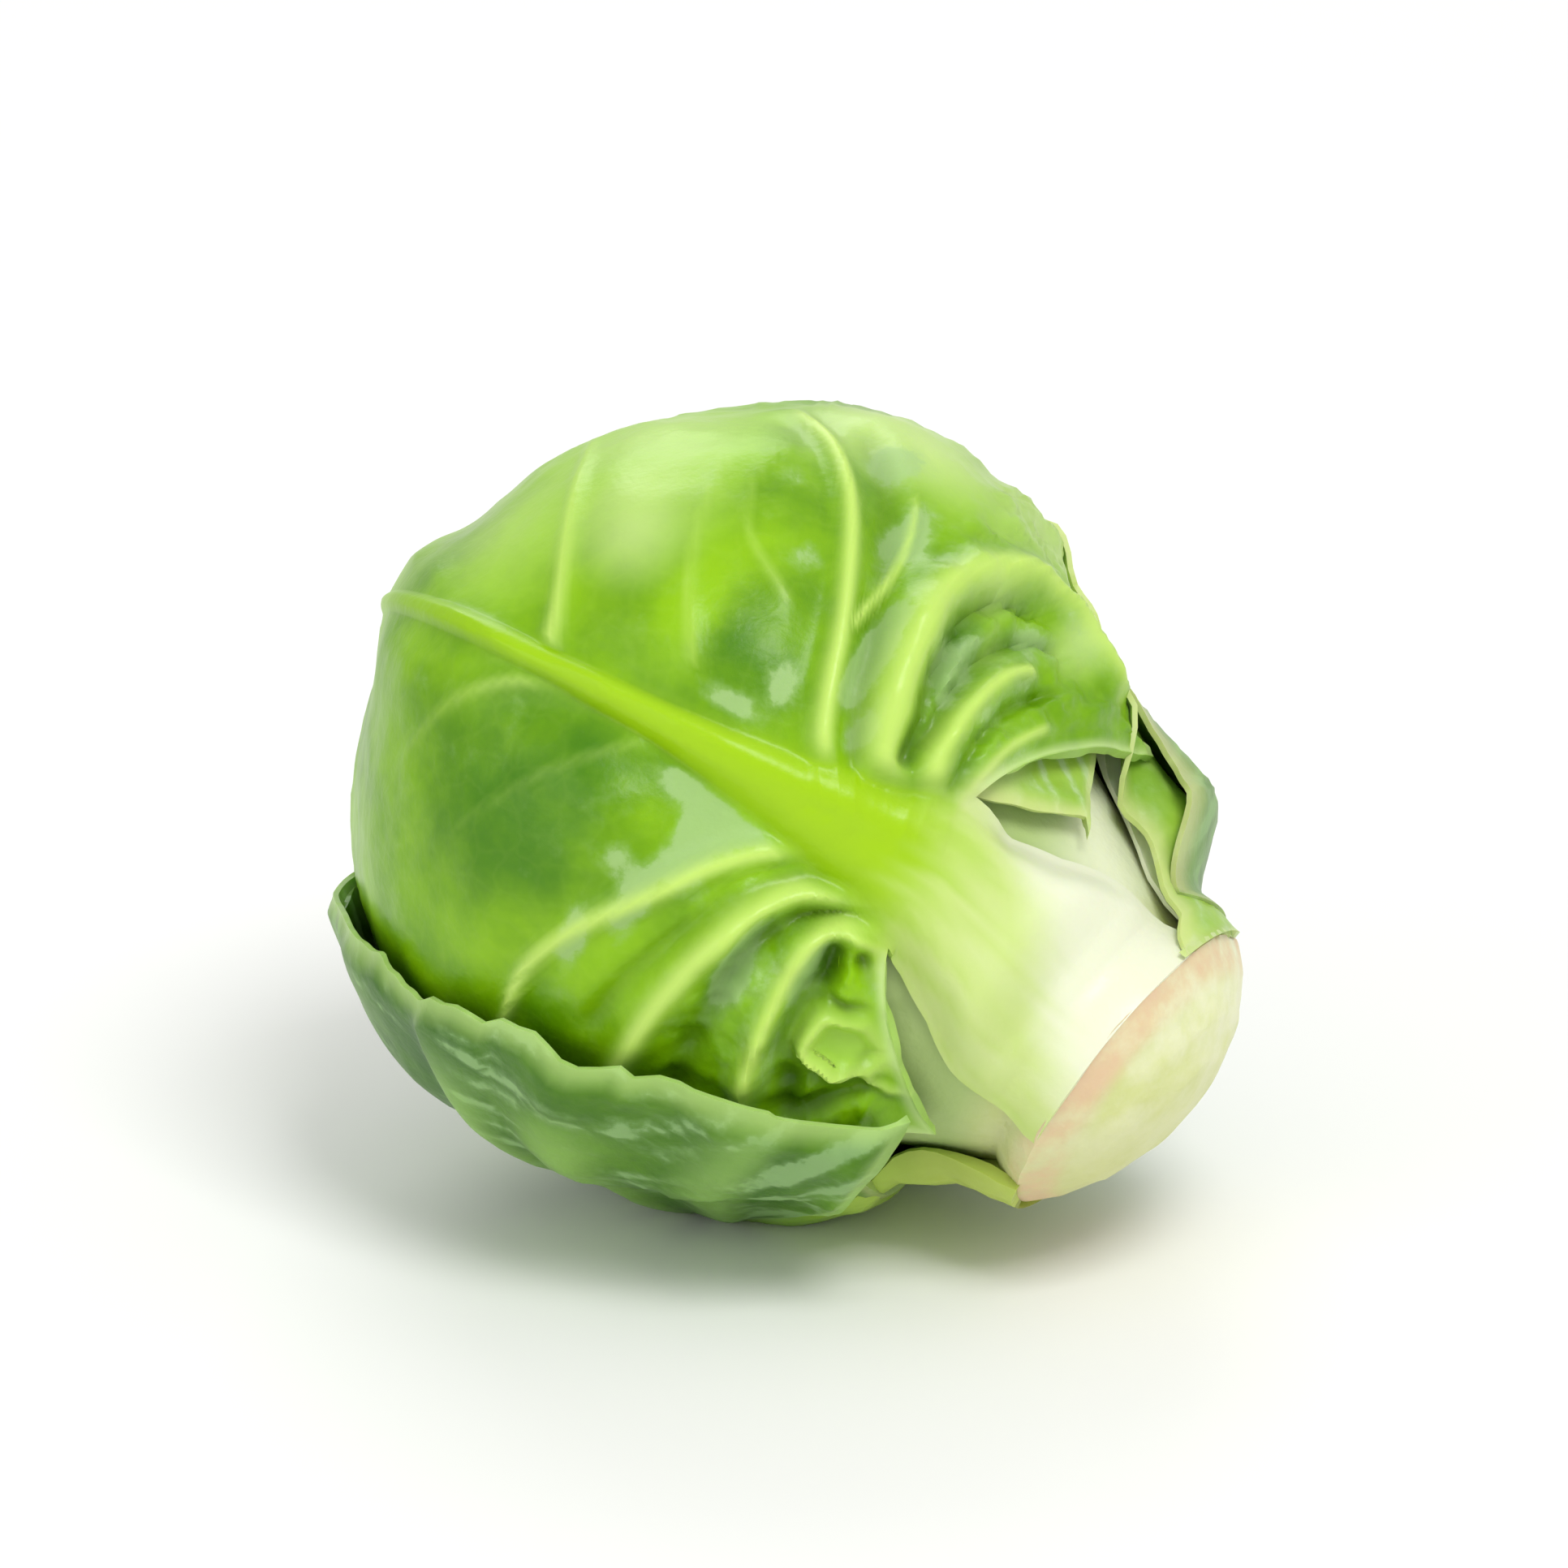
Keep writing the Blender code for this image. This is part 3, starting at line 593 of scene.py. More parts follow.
def grid_sheet(name, wide, tall, is_corner):
    """A flat grid with the faces of some corners deleted. Returns it with each point's column and row."""
    deselect_all()
    bpy.ops.mesh.primitive_grid_add(x_subdivisions=wide, y_subdivisions=tall, size=2)
    sheet = bpy.context.object
    sheet.name = sheet.data.name = name
    centres = np.empty(len(sheet.data.polygons) * 3)
    sheet.data.polygons.foreach_get("center", centres)
    centres = centres.reshape(-1, 3)
    column, row = (centres[:, 0] + 1) / 2 * wide, (centres[:, 1] + 1) / 2 * tall
    corner = is_corner(column, row)
    if corner.any():
        bpy.ops.object.mode_set(mode="EDIT")
        bpy.ops.mesh.select_all(action="DESELECT")
        bpy.ops.object.mode_set(mode="OBJECT")
        sheet.data.polygons.foreach_set("select", corner)
        bpy.ops.object.mode_set(mode="EDIT")
        bpy.ops.mesh.select_mode(type="FACE")
        bpy.ops.mesh.delete(type="FACE")
        bpy.ops.object.mode_set(mode="OBJECT")
    flat = np.empty(len(sheet.data.vertices) * 3)
    sheet.data.vertices.foreach_get("co", flat)
    flat = flat.reshape(-1, 3)
    column = np.rint((flat[:, 0] + 1) / 2 * wide).astype(int)
    row = np.rint((flat[:, 1] + 1) / 2 * tall).astype(int)
    return sheet, column, row


def place_points(piece, points):
    """Moves the piece's points."""
    piece.data.vertices.foreach_set("co", np.ascontiguousarray(on_floor(points), dtype=np.float64).ravel())
    piece.data.update()


def smooth_shading(piece, angle):
    """Shades the piece smooth with sharp edges above an angle."""
    deselect_all()
    piece.select_set(True)
    bpy.context.view_layer.objects.active = piece
    bpy.ops.object.shade_smooth_by_angle(angle=radians(angle))
    piece.select_set(False)


# Materials

def linear(code):
    """An sRGB hex colour as linear RGBA."""
    parts = [int(code[i : i + 2], 16) / 255 for i in (1, 3, 5)]
    return tuple(c / 12.92 if c <= 0.04045 else ((c + 0.055) / 1.055) ** 2.4 for c in parts) + (1.0,)


def add_node(tree, kind, inputs=None, out=0, **settings):
    """Adds a node with its settings, its inputs set to values or linked, and gives its output."""
    made = tree.nodes.new("ShaderNode" + kind)
    for key, value in settings.items():
        setattr(made, key, value)
    for key, value in (inputs or {}).items():
        if isinstance(value, bpy.types.NodeSocket):
            tree.links.new(value, made.inputs[key])
        else:
            made.inputs[key].default_value = value
    return made.outputs[out]


def new_material(name, constants):
    """A material with its shader's constants set. Returns it with its node tree and shader."""
    made = bpy.data.materials.new(name)
    made.use_nodes = True
    shader = made.node_tree.nodes["Principled BSDF"]
    for key, value in constants.items():
        shader.inputs[key].default_value = value
    return made, made.node_tree, shader


def layered(tree, colour, layers):
    """The colour with others laid over it in turn, each where its factor passes from low to high."""
    for factor, low, high, strength, over in layers:
        limits = {"Value": factor, "From Min": low, "From Max": high, "To Max": strength}
        curve = "LINEAR" if (low, high) == (0, 1) else "SMOOTHSTEP"
        share = add_node(tree, "MapRange", limits, interpolation_type=curve)
        colour = add_node(tree, "Mix", {0: share, 6: colour, 7: over}, out=2, data_type="RGBA")
    return colour


def leaf_material(name, gloss, colours):
    """Fresh waxy leaf, which gives the eye soft green cells under torn grey patches of bloom."""
    made, tree, shader = new_material(name, {
        "IOR": 1.43, "Specular IOR Level": 0.36, "Subsurface Weight": 0.15,
        "Subsurface Radius": (0.6, 1.0, 0.15), "Subsurface Scale": 0.7 * MM,
    })
    place = add_node(tree, "TexCoord", out="Object")
    mark = {kind: add_node(tree, "Attribute", out="Fac", attribute_name=kind) for kind in MARKS}
    # Broad tone of the tissue, in patches
    patches = add_node(tree, "TexNoise", {
        "Vector": place, "Scale": 1 / (TONE_PATCH * MM), "Detail": 4.0, "Roughness": 0.6,
    })
    tone = add_node(tree, "Math", {0: patches, 1: 0.7, 2: mark["tone"]}, operation="MULTIPLY_ADD")
    # Netted small veins
    warp = {"Vector": place, "Scale": 1 / (NET_BEND_SPACING * MM), "Detail": 2.0}
    warp = add_node(tree, "TexNoise", warp, out="Color")
    bent = {0: warp, 1: (NET_BEND * MM,) * 3, 2: place}
    bent = add_node(tree, "VectorMath", bent, operation="MULTIPLY_ADD")
    net = {"Vector": bent, "Scale": 1 / (NET_SPACING * MM)}
    net = add_node(tree, "TexVoronoi", net, feature="DISTANCE_TO_EDGE")
    vein = add_node(tree, "MapRange", {"Value": net, "From Min": 0.12, "From Max": 0.0}, **SOFT)
    # Bloom of wax, thicker in the folds, with torn edges where it has been rubbed off
    ragged = add_node(tree, "TexNoise", {
        "Vector": place, "Scale": 1 / (WAX_TEAR * MM), "Detail": 6.0, "Roughness": 0.62,
    })
    wax = add_node(tree, "Math", {0: ragged, 1: 0.8, 2: mark["wax"]}, operation="MULTIPLY_ADD")
    torn = add_node(tree, "MapRange", {"Value": wax, "From Min": 0.60, "From Max": 0.70}, **SOFT)
    film = {"Value": wax, "From Min": 0.45, "From Max": 0.75, "To Max": 0.45}
    film = add_node(tree, "MapRange", film, **SOFT)
    bloom = add_node(tree, "Math", {0: torn, 1: 0.35, 2: film}, operation="MULTIPLY_ADD")
    # The stalk pales towards its base
    stalk = layered(tree, colours["midrib"], [
        (mark["pale"], 0.05, 0.45, 1.0, colours["stalk"]),
        (mark["pale"], 0.35, 0.95, 1.0, colours["base"]),
    ])
    colour = layered(tree, colours["dark"], [
        # The tone carries random patches and the painted shade and light of the spots; the light mark lays
        # painted highlights
        (tone, 0.22, 0.86, 1.0, colours["bright"]),
        (mark["light"], 0, 1, 1.0, colours["light"]),
        (vein, 0, 1, 0.025, colours["rib"]),
        (bloom, 0, 1, 1.0, colours["waxy"]),
        # Painted shade in creases and hollows, where the shade mark is set
        (mark["shade"], 0, 1, 0.75, colours["crease"]),
        (mark["midrib"], 0, 1, 1.0, colours["midrib"]),
        (mark["rib"], 0, 1, 1.0, colours["rib"]),
        (mark["stalk"], 0, 1, 1.0, stalk),
        (mark["edge"], 0, 1, 0.75, colours["rim"]),
    ])
    # Cells and the net of veins as relief, and rougher wax
    cells = add_node(tree, "TexNoise", {"Vector": place, "Scale": 1 / (LEAF_CELL * MM), "Detail": 3.0})
    relief = add_node(tree, "Math", {0: vein, 1: 0.12, 2: cells}, operation="MULTIPLY_ADD")
    lumps = add_node(tree, "Bump", {"Height": relief, "Strength": 0.22, "Distance": 0.1 * MM})
    roughness = add_node(tree, "Math", {0: torn, 1: 0.14, 2: gloss}, operation="MULTIPLY_ADD")
    for key, value in (("Base Color", colour), ("Normal", lumps), ("Roughness", roughness)):
        tree.links.new(value, shader.inputs[key])
    return made


def leaf_surface(kind, settings):
    """The material of a kind of leaf, made once. The front leaf's main colours are the user's."""
    look = LOOKS[kind]
    if look.name in bpy.data.materials:
        return bpy.data.materials[look.name]
    colours = {part: linear(code) for part, code in zip(look._fields[2:], look[2:])}
    if kind == "bright":
        colours.update({part: tuple(getattr(settings, "front_" + part)) for part in CHOSEN_PARTS})
    return leaf_material(look.name, look.gloss, colours)


def stem_material(settings):
    """Cut stem, sliced and left to dry, which gives the eye pale pith in a thin pinkish woody ring."""
    made, tree, shader = new_material("cut_stem_tissue", {
        "Roughness": 0.48, "IOR": 1.42, "Subsurface Weight": 0.25,
        "Subsurface Radius": (1.0, 0.9, 0.4), "Subsurface Scale": 1.2 * MM,
    })
    place = add_node(tree, "TexCoord", out="Object")
    rim, heart = [add_node(tree, "Attribute", out="Fac", attribute_name=kind) for kind in ("rim", "heart")]
    blotch = add_node(tree, "TexNoise", {
        "Vector": place, "Scale": 1 / (CUT_BLOTCH * MM), "Detail": 5.0, "Roughness": 0.6,
    })
    ring = add_node(tree, "MapRange", {"Value": blotch, "From Min": 0.3, "From Max": 0.6}, **SOFT)
    ring = add_node(tree, "Math", {0: rim, 1: ring}, operation="MULTIPLY")
    # The neck under the leaves is green on the left and whitens to the right. The cut turns darker and
    # yellower towards its bottom.
    rightward, height = [add_node(tree, "SeparateXYZ", {"Vector": place}, out=axis) for axis in ("X", "Z")]
    neck = layered(tree, linear("#B3CA80"), [(rightward, 9.0 * MM, 12.5 * MM, 1.0, linear("#E6ECC8"))])
    colour = layered(tree, tuple(settings.cut_pith), [
        (blotch, 0.35, 0.68, 1.0, linear("#D5DC92")),
        (height, 11.0 * MM, 3.5 * MM, 0.65, linear("#C8CC7A")),
        (heart, 0, 1, 1.0, neck),
        (ring, 0, 1, 1.0, tuple(settings.cut_ring)),
    ])
    grain = add_node(tree, "TexNoise", {"Vector": place, "Scale": 1 / (CUT_GRAIN * MM), "Detail": 3.0})
    lumps = add_node(tree, "Bump", {"Height": grain, "Strength": 0.4, "Distance": 0.15 * MM})
    for key, value in (("Base Color", colour), ("Normal", lumps)):
        tree.links.new(value, shader.inputs[key])
    return made


def floor_material():
    """Matt white studio sheet, which gives the eye nothing but the shadow."""
    return new_material("studio_sheet", {"Base Color": linear("#F2F2F0"), "Roughness": 0.8})[0]


# Settings, operators and panel

def length_setting(name, description, millimetres):
    """A length that the user can change."""
    return bpy.props.FloatProperty(
        name=name, description=description, default=millimetres * MM, min=0.0, unit="LENGTH"
    )


def colour_setting(name, description, code):
    """A colour that the user can change."""
    return bpy.props.FloatVectorProperty(
        name=name, description=description, default=linear(code), size=4, min=0.0, max=1.0, subtype="COLOR"
    )


class SproutSettings(bpy.types.PropertyGroup):
    """Sizes and colours that a user would change."""

    blade: length_setting("Blade", "Thickness of a leaf's blade", 0.66)
    margin: length_setting("Margin", "Thickness of a leaf's margin", 0.22)
    gap: length_setting("Gap", "Gap between two leaves", 0.34)
    crinkle: length_setting("Crinkle", "Height of the crinkles in the lobes", 0.35)
    front_dark: colour_setting("Dark tissue", "Darkest green of the front leaf", LOOKS["bright"].dark)
    front_bright: colour_setting("Bright tissue", "Lightest green of the front leaf", LOOKS["bright"].bright)
    front_waxy: colour_setting("Wax", "Bloom of wax on the front leaf", LOOKS["bright"].waxy)
    front_midrib: colour_setting("Midrib", "Midrib of the front leaf", LOOKS["bright"].midrib)
    front_base: colour_setting("Stalk's base", "Lower end of the front leaf's stalk", LOOKS["bright"].base)
    cut_pith: colour_setting("Pith", "Pith of the cut face", "#E9EBC4")
    cut_ring: colour_setting("Woody ring", "Ring that dries round the cut face", "#E2C49E")


class SPROUT_OT_stem_and_heart(bpy.types.Operator):
    """Models the stem with its cut face, and the heart"""

    bl_idname = "sprout.stem_and_heart"
    bl_label = "Stem and heart"

    def execute(self, context):
        deselect_all()
        rings, segments = 150, 160
        bpy.ops.mesh.primitive_uv_sphere_add(segments=segments, ring_count=rings, radius=1)
        piece = context.object
        piece.name = piece.data.name = "stem_and_heart_fine"
        flat = np.empty(len(piece.data.vertices) * 3)
        piece.data.vertices.foreach_get("co", flat)
        d = flat.reshape(-1, 3)
        ring = np.rint(rings * np.arccos(np.clip(-d[:, 2], -1, 1)) / np.pi).astype(int)
        azimuth = np.arctan2(d[:, 1], d[:, 0])
        points, rim, heart = self.shape(ring, azimuth, rings)
        place_points(piece, to_frame(points))
        add_attribute(piece.data, "rim", rim)
        add_attribute(piece.data, "heart", heart)
        piece.data.materials.append(stem_material(context.scene.sprout_settings))
        smooth_shading(piece, 60)
        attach(piece, "root")
        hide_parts("stem_and_heart")
        return {"FINISHED"}

    def shape(self, ring, azimuth, rings):
        """Points, rim strength and heart strength of the sphere's rings as the stem and heart."""
        cut_rings = 46
        shoulder = -STEM_LENGTH + FLANGE_HEIGHT
        profile = np.array([
            (0.0, -CUT_DOME - STEM_LENGTH),
            (0.35 * CUT_RADIUS, -0.92 * CUT_DOME - STEM_LENGTH),
            (0.65 * CUT_RADIUS, -0.65 * CUT_DOME - STEM_LENGTH),
            (0.88 * CUT_RADIUS, -0.25 * CUT_DOME - STEM_LENGTH),
            (CUT_RADIUS + 0.10, 0.25 - STEM_LENGTH),
            (CUT_RADIUS - 0.10, 0.6 * FLANGE_HEIGHT - STEM_LENGTH),
            (CUT_RADIUS - 0.45, shoulder),
        ])
        at = np.array([0, 12, 23, 33, 40, 43, cut_rings])
        rho = np.interp(ring, at, profile[:, 0])
        z = np.interp(ring, at, profile[:, 1])
        alpha = 18.0 + 162.0 * (ring - cut_rings) / (rings - cut_rings)
        d = direction(alpha, np.degrees(azimuth))
        steps = sum(HEART_STEP * (1 - smooth(outside(leaf, d) / 3)) for leaf in HEART_LEAVES)
        body = core_point(d, steps * smooth((alpha - 30) / 20))
        on_cut = ring <= cut_rings
        face = np.stack([rho * np.cos(azimuth), rho * np.sin(azimuth), z], axis=-1)
        points = np.where(on_cut[:, None], face, body)
        rough = noise_field(points, 2.2, 3)
        waves = 0.10 * rough * smooth((rho - 1) / 3) * on_cut
        points[:, 2] += waves
        wobble = 1 + 0.012 * np.sin(3 * azimuth + 1.0) + 0.006 * np.sin(7 * azimuth) * on_cut
        points[:, :2] *= wobble[:, None]
        rim = smooth((rho - 5.4) / 1.0) * on_cut * (1 - smooth((ring - 40) / 6))
        heart = smooth((alpha - 19) / 6) * ~on_cut
        return points, rim, heart


class SPROUT_OT_wrapping_leaves(bpy.types.Operator):
    """Models the wrapping leaves, from the innermost to the outermost"""

    bl_idname = "sprout.wrapping_leaves"
    bl_label = "Wrapping leaves"

    def execute(self, context):
        if "stem_and_heart_fine" not in bpy.data.objects:
            raise RuntimeError("the leaves are laid on the stem and heart, which come first")
        trees = [tree_of(bpy.data.objects["stem_and_heart_fine"])]
        for rank in reversed(range(len(LEAVES))):
            piece = self.leaf(context, rank, trees)
            trees.append(tree_of(piece))
        return {"FINISHED"}

    def columns_and_rows(self, rank):
        """Fine columns and rows of the leaf, its columns on each side and its rows on the foot."""
        leaf = LEAVES[rank]
        sides, middle, foot_rows, fan_rows, tip_rows = FINE_GRID if rank == FRONT else PLAIN_GRID
        centre = np.linspace(-CENTRE, CENTRE, middle + 1)
        right = np.linspace(CENTRE, 1, sides + 1)[1:]
        foot = np.linspace(FRONT_FOOT if leaf.foot < -60 else leaf.foot, FOOT_END, foot_rows)
        fan = np.linspace(BLADE_START, FAN_END, fan_rows)
        tip = np.linspace(FAN_END, leaf.reach - 3, tip_rows + 1)[1:]
        across = np.concatenate([-right[::-1], centre, right])
        return across, np.concatenate([foot, fan, tip]), sides, foot_rows

    def leaf(self, context, rank, trees):
        """One leaf, laid on what the trees hold."""
        settings = context.scene.sprout_settings
        leaf = LEAVES[rank]
        across, rows, sides, foot_rows = self.columns_and_rows(rank)
        wide, tall = len(across) - 1, len(rows) - 1

        def is_corner(column, row):
            return (row < foot_rows) & ((column < sides) | (column > wide - sides))

        sheet, column, row = grid_sheet(leaf.name + "_fine", wide, tall, is_corner)
        x, q, d = leaf_directions(leaf, across, rows)
        pressed = covered(rank, d)
        beneath = top_heights(trees, d)
        low = resting_height(beneath, d, settings.gap / MM)
        snug = self.snug(rank, across, rows)
        low = low * (1 - snug) + snug * (softened(beneath, 3) + 0.12)
        margin = self.margin(leaf, across, rows)
        blade = settings.blade / MM
        if rank == FRONT:
            rise, marks = self.front_relief(leaf, x, q, d, settings.crinkle / MM)
        else:
            rise, marks = self.plain_relief(leaf, x, q, d, across, settings.crinkle / MM)
            rise = rise * (1 - pressed)
        firm = 1 - 0.5 * pressed * smooth((q + 40) / 20)
        middle = leaf.rib * firm * np.interp(q, MIDRIB_AT, MIDRIB_HEIGHT)
        middle = middle * bump(x / midrib_spread(leaf, q), 3)
        thinning = 0.5 * smooth((-q - FOOT_THINS[0]) / FOOT_THINS[1])
        if rank == 0:
            middle = middle + self.pad(d) + HEEL[2] * bump((q - HEEL[0]) / HEEL[1])
            thinning = 0
        rough = noise_field(core_point(d, 0.0), 1.8, leaf.seed + 9, 2)
        above = (blade + middle + rise) * (1 - 0.6 * snug) * (1 - thinning)
        edge = settings.margin / MM + leaf.curl * (1 + 0.8 * rough)
        above = above * (1 - margin) + margin * (0.25 * above + edge)
        outer = trimmed(core_point(d, low + above), KNOB_RADIUS + FOOT_STEP * (FRONT - rank))
        place_points(sheet, to_frame(outer)[column, row])
        thick = np.clip(np.minimum(above - 0.05, blade + middle), 0.12, None)
        thick = thick * (1 - margin) + margin * settings.margin / MM
        marks["edge"] = margin
        for name, values in marks.items():
            add_attribute(sheet.data, name, np.clip(values, -1, 1)[column, row])
        group = sheet.vertex_groups.new(name="thickness")
        share = (thick / thick.max())[column, row]
        for index, value in enumerate(share.tolist()):
            group.add([index], value, "REPLACE")
        apply_modifier(
            sheet, "SOLIDIFY", "blade", thickness=thick.max() * MM, offset=-1, vertex_group="thickness",
            use_rim=True, use_even_offset=False,
        )
        self.face_outward(sheet)
        sheet.data.materials.append(leaf_surface(leaf.surface, settings))
        smooth_shading(sheet, 50)
        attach(sheet, "root")
        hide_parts(leaf.name)
        return sheet

    def pad(self, d):
        """Extra thickness of the lowest leaf where the sprout's weight lies on it."""
        down = np.array((0.0, 0.0, -1.0)) @ TURN
        return PAD_HEIGHT * bump(np.degrees(np.arccos(np.clip(d @ down, -1, 1))) / PAD_RADIUS)

    def snug(self, rank, across, rows):
        """1 where the leaf clings to what lies beneath: at its foot and, if it hugs, along its sides."""
        side = smooth((np.abs(across) / CENTRE - 0.5) / 0.5)[:, None]
        foot = 1 - smooth((rows - FOOT_END + 6) / 8)[None, :]
        hugging = smooth((np.abs(across) - 0.45) / 0.4)[:, None] * smooth((rows + 44) / 8)[None, :]
        if rank == 0:
            close = bump((rows - WAIST[0]) / WAIST[1])[None, :]
        else:
            close = smooth((-rows - 62) / 7)[None, :]
        return np.maximum(np.maximum(side * foot, close), HUGGING.get(rank, 0) * hugging)

    def margin(self, leaf, across, rows):
        """1 on the margin, 0 inside the leaf."""
        side = smooth((np.abs(across) - 0.955) / 0.045)[:, None]
        tip = smooth((rows - leaf.reach + 6.5) / 3.5)[None, :]
        on_blade = smooth((rows - BLADE_START + 0.1) / 0.2)[None, :]
        lobe = (1 - smooth((rows - BLADE_START) / 1.4))[None, :] * on_blade
        lobe = lobe * smooth((np.abs(across) - CENTRE) / 0.08)[:, None]
        return np.clip(np.maximum(np.maximum(side * on_blade, tip), lobe), 0, 1)

    def front_relief(self, leaf, x, q, d, crinkle):
        """Height of the front leaf's veins, panes and lobes over its plain blade, and what colours it."""
        spread = midrib_spread(leaf, q)
        side = np.abs(x)
        lx, ly = from_sphere(leaf, d)
        on_blade = smooth((q - BLADE_START) / 4)
        veins, crest, near = vein_relief(FRONT_VEINS, lx, ly)
        off_midrib = smooth((side - 0.75 * spread) / (0.5 * spread))
        points = core_point(d, 0.0)
        lobes = smooth((side - 11) / 8) * (1 - smooth((ly + 24) / 10))
        depth = vein_relief(FRONT_FURROWS, lx, ly)[0]
        ring, bowl, moat = curled_edges(FRONT_CURLS, lx, ly)
        panes = smooth((side - spread) / 12) * (1 - near) * (1 - lobes)
        swell = 0.42 * panes * bump((ly - 12) / 60)
        puckers = 0.13 * panes * noise_field(points, 3.4, leaf.seed + 4, 3)
        crinkles = crinkle * lobes * (1 - 0.6 * crest) * noise_field(points, 1.25, leaf.seed, 3)
        curled = np.clip(ring + bowl + moat, 0, 1)
        rise = (veins - depth) * (1 - curled) + ring - 0.3 * bowl - 0.6 * moat
        rise = on_blade * off_midrib * (rise + 0.55 * lobes) + on_blade * crinkles * (1 - curled)
        rise = rise + swell + puckers + spots(FRONT_BULGES, lx, ly)
        stalk = bump(x / (1.1 * spread), 4) * (1 - smooth((q + 8) / 30))
        stalk = np.maximum(stalk, (1 - on_blade) * bump(x / (1.7 * spread), 6))
        fibres = noise_field(np.stack([x / 2.4, q / 16, 0 * q], axis=-1), 1.0, leaf.seed + 40, 2)
        # The stalk pales towards its base, and further up on the side where x > 0 as a painted highlight
        # along its lit side
        pale = 1 - smooth((q + 75 - 16 * np.clip(x / spread, -1, 1)) / 28)
        pale = np.maximum(pale, 0.42 * (1 - smooth((q + 60) / 30)))
        pale = pale + 0.10 * fibres * (1 - smooth((q + 40) / 20))
        midrib = bump(x / (1.1 * spread), 3) * (1 - 0.6 * smooth(q / 70))
        # Tone: random patches, darkened by the painted shade spots and brightened by the painted light spots
        tone = 0.16 * noise_field(points, 5.0, leaf.seed + 20, 2) + 0.25
        # In the curls the bowls are drawn brighter and the rims take the pale crest colour, both painted
        # highlights
        tone = tone - spots(FRONT_PAINTED_SHADE, lx, ly) + spots(FRONT_PAINTED_LIGHT, lx, ly) + 0.5 * bowl
        wax = spots(FRONT_WAX, lx, ly) + 0.25 * near * (1 - crest) * lobes - 0.5 * bowl
        crest = np.maximum(crest * (1 - curled), np.clip(1.4 * ring, 0, 1))
        # Painted shade in the furrows and in the moats round the curls
        shade = on_blade * off_midrib * np.clip(np.maximum(1.2 * depth * (1 - curled) - 0.15, moat), 0, 1)
        marks = {
            "rib": np.maximum(0.95 * crest * off_midrib, 0), "midrib": midrib, "stalk": stalk, "pale": pale,
            "wax": wax * off_midrib, "tone": tone, "shade": shade,
            "light": spots(FRONT_PAINTED_HIGHLIGHTS, lx, ly),
        }
        return rise, marks

    def plain_relief(self, leaf, x, q, d, across, crinkle):
        """Height of another leaf's ribs and panes over its plain blade, and what colours it."""
        spread = midrib_spread(leaf, q)
        side = np.abs(x)
        points = core_point(d, 0.0)
        along = smooth(side / spread) * bump(x / leaf.width, 3)
        ribs = RIB_HEIGHT * leaf.pleat * along * rib_strength(q)
        pleats = leaf.pleat * PLEAT * smooth((side - 10) / 12) * rib_strength(q)
        swell = SWELL * smooth((side - 4) / 30) * bump((q + 2) / 24)
        curled = smooth((np.abs(across) - 0.78) / 0.22)[:, None]
        curl = leaf.curl * curled * (0.6 + 0.4 * np.sin(0.3 * q + leaf.seed))
        lobes = smooth((side - 14) / 12) * (1 - smooth((q + 34) / 12))
        crinkles = crinkle * leaf.pleat * lobes * noise_field(points, 1.5, leaf.seed)
        blisters = 0.12 * smooth((side - 3) / 8) * noise_field(points, 3.0, leaf.seed + 4, 2)
        stalk = bump(x / (1.1 * spread), 4) * (1 - smooth((q + 30) / 30))
        stalk = np.maximum(stalk, 1 - smooth((q + 50) / 6))
        pale = 1 - smooth((q + (74 if leaf.surface in OUTER_SURFACES else 60)) / 34)
        midrib = bump(x / (1.1 * spread), 3) * (1 - 0.6 * smooth(q / 70))
        run = smooth(side / spread) * (1 - smooth((side / leaf.width - 0.6) / 0.3))
        fan = 1 - smooth((q + 27) / 8)
        streaks = noise_field(np.stack([x / 3.2, q / 11, 0 * q], axis=-1), 1.0, leaf.seed + 30, 3)
        wax = 0.15 * fan * (1 - rib_strength(q)) + 0.42 * streaks + 0.02
        tone = 0.22 * noise_field(points, 6.0, leaf.seed + 20, 2) + 0.15
        marks = {
            "rib": 0.7 * run * np.clip(rib_strength(q) * 1.3 - 0.3, 0, 1), "midrib": 0.8 * midrib,
            "stalk": stalk, "pale": pale, "wax": wax, "tone": tone, "shade": 0 * tone, "light": 0 * tone,
        }
        return ribs + pleats + swell + curl + crinkles + blisters, marks

    def face_outward(self, piece):
        """Turns the piece's faces outwards."""
        deselect_all()
        piece.select_set(True)
        bpy.context.view_layer.objects.active = piece
        bpy.ops.object.mode_set(mode="EDIT")
        bpy.ops.mesh.select_all(action="SELECT")
        bpy.ops.mesh.normals_make_consistent(inside=False)
        bpy.ops.object.mode_set(mode="OBJECT")
        piece.select_set(False)


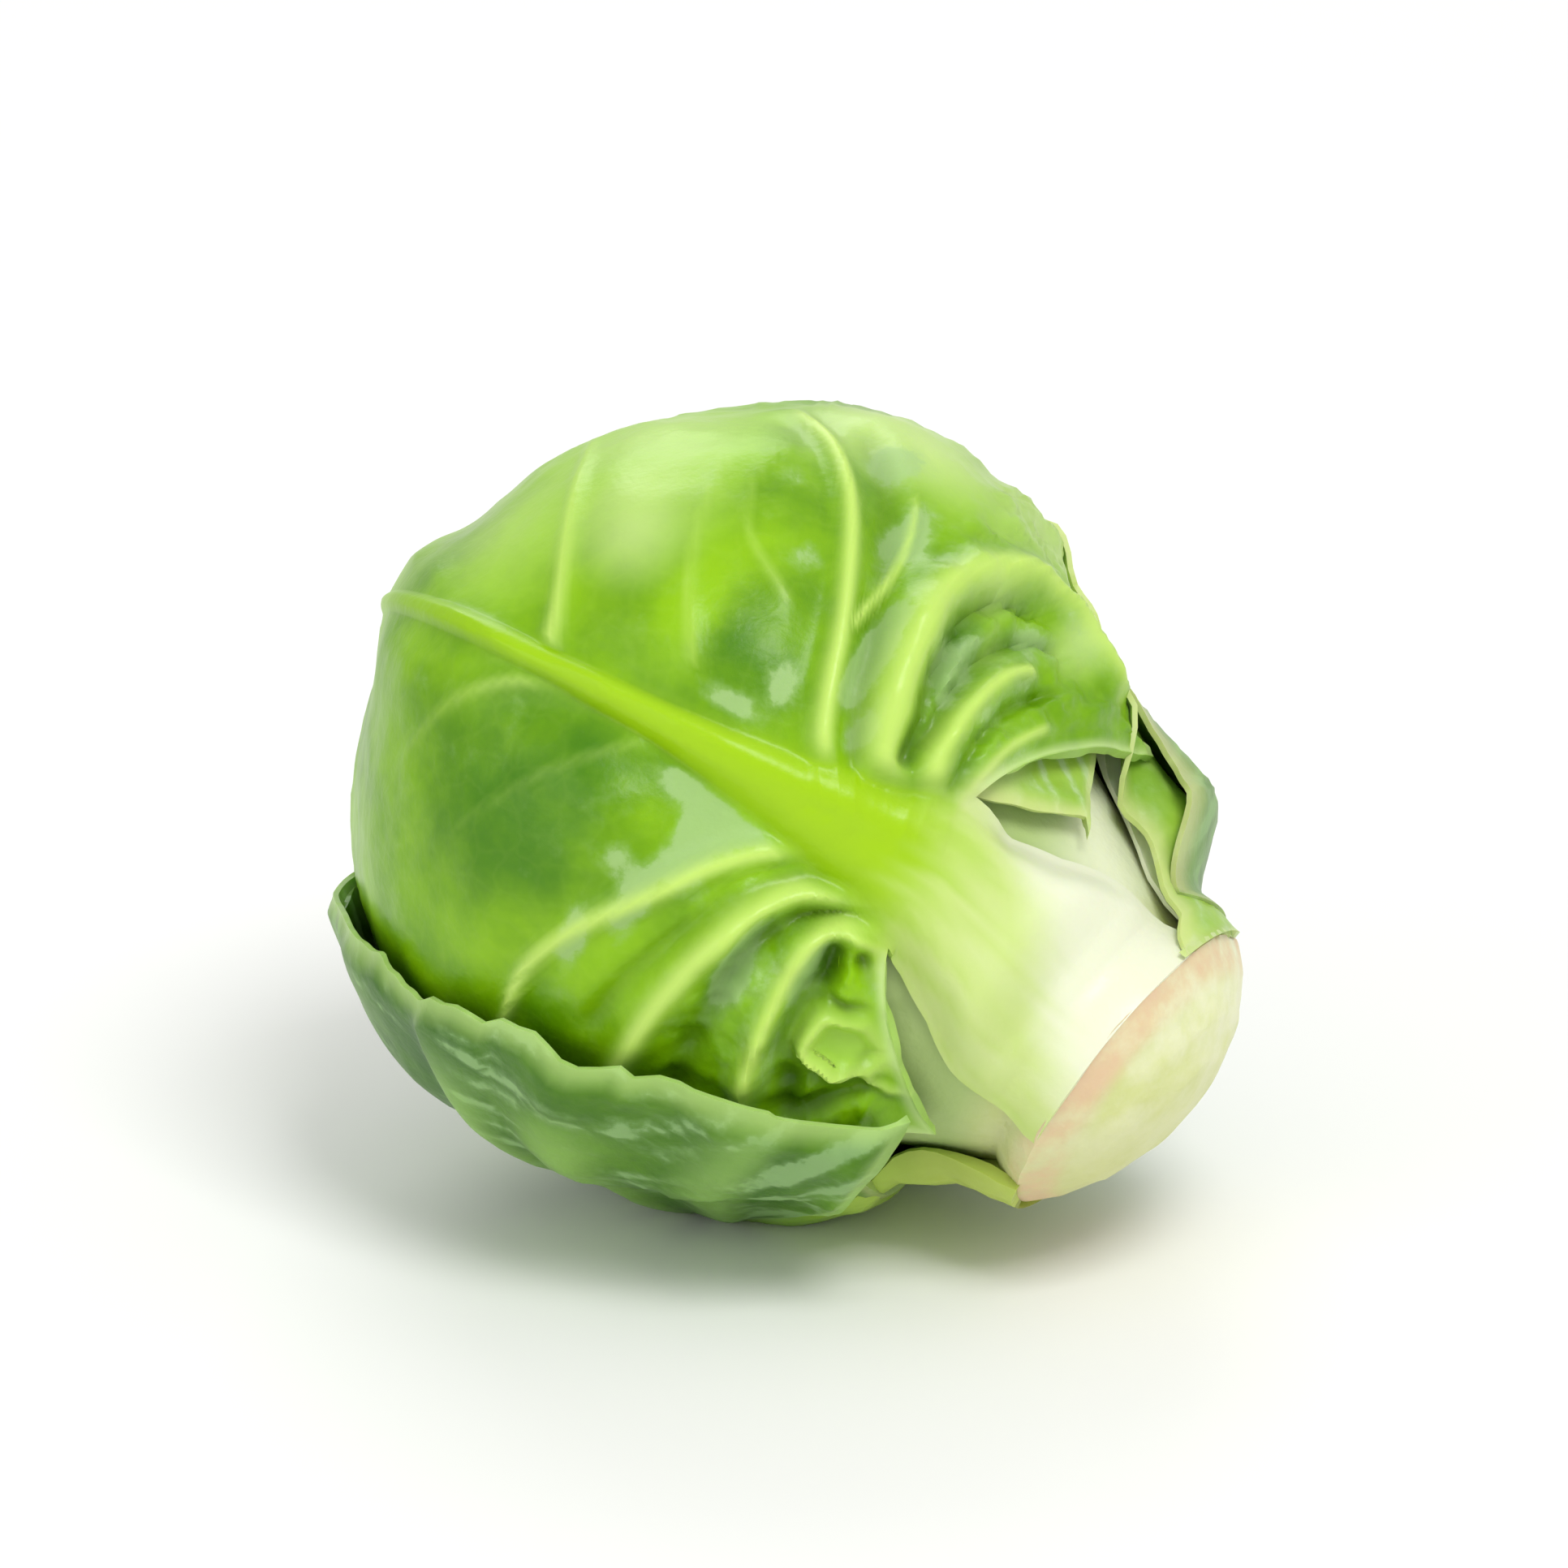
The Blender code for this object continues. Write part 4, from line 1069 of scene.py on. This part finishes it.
class SPROUT_OT_stage(bpy.types.Operator):
    """Sets the floor, the soft lights and the camera"""

    bl_idname = "sprout.stage"
    bl_label = "Stage"

    def execute(self, context):
        deselect_all()
        bpy.ops.mesh.primitive_plane_add(size=FLOOR_SIDE, location=(0, 0, 0))
        floor = context.object
        floor.name = floor.data.name = "studio_floor"
        floor.data.materials.append(floor_material())
        for name, place, side, power in LIGHTS:
            self.light(name, place, side, power)
        world = bpy.data.worlds.new("studio_air")
        world.use_nodes = True
        air = world.node_tree.nodes["Background"]
        air.inputs["Color"].default_value = linear("#FFFFFF")
        air.inputs["Strength"].default_value = AIR_BRIGHTNESS
        context.scene.world = world
        context.scene.view_settings.view_transform = "Standard"
        self.camera(context)
        return {"FINISHED"}

    def light(self, name, place, side, power):
        """A square soft light aimed at the sprout."""
        data = bpy.data.lights.new(name, "AREA")
        data.shape, data.size, data.energy = "SQUARE", side, power
        lamp = bpy.data.objects.new(name, data)
        bpy.context.scene.collection.objects.link(lamp)
        lamp.location = place
        lamp.rotation_euler = (Vector(LIGHT_TARGET) - Vector(place)).to_track_quat("-Z", "Y").to_euler()

    def camera(self, context):
        """The photograph's view: a little from above, with the sprout in the middle."""
        back = Vector((0, -cos(radians(CAMERA_ELEVATION)), sin(radians(CAMERA_ELEVATION))))
        data = bpy.data.cameras.new("camera")
        data.lens, data.sensor_width = LENS, SENSOR
        data.clip_start, data.clip_end = 0.005, 20
        seen = bpy.data.objects.new("camera", data)
        context.scene.collection.objects.link(seen)
        seen.location = Vector(CAMERA_TARGET) + back * CAMERA_DISTANCE
        seen.rotation_euler = (-back).to_track_quat("-Z", "Y").to_euler()
        context.scene.camera = seen


class SPROUT_PT_panel(bpy.types.Panel):
    """Lists the sprout's sizes and pieces"""

    bl_idname = "SPROUT_PT_panel"
    bl_label = "Brussels sprout"
    bl_space_type = "VIEW_3D"
    bl_region_type = "UI"
    bl_category = "Sprout"

    def draw(self, context):
        settings = context.scene.sprout_settings
        for name in SproutSettings.__annotations__:
            self.layout.prop(settings, name)
        for operator in OPERATORS:
            self.layout.operator(operator.bl_idname)


OPERATORS = (SPROUT_OT_stem_and_heart, SPROUT_OT_wrapping_leaves, SPROUT_OT_stage)
CLASSES = (SproutSettings,) + OPERATORS + (SPROUT_PT_panel,)


def register():
    for cls in CLASSES:
        bpy.utils.register_class(cls)
    bpy.types.Scene.sprout_settings = bpy.props.PointerProperty(type=SproutSettings)


def unregister():
    del bpy.types.Scene.sprout_settings
    for cls in reversed(CLASSES):
        bpy.utils.unregister_class(cls)


def main():
    register()
    bpy.ops.sprout.stem_and_heart()
    bpy.ops.sprout.wrapping_leaves()
    bpy.ops.sprout.stage()


if __name__ == "__main__":
    main()
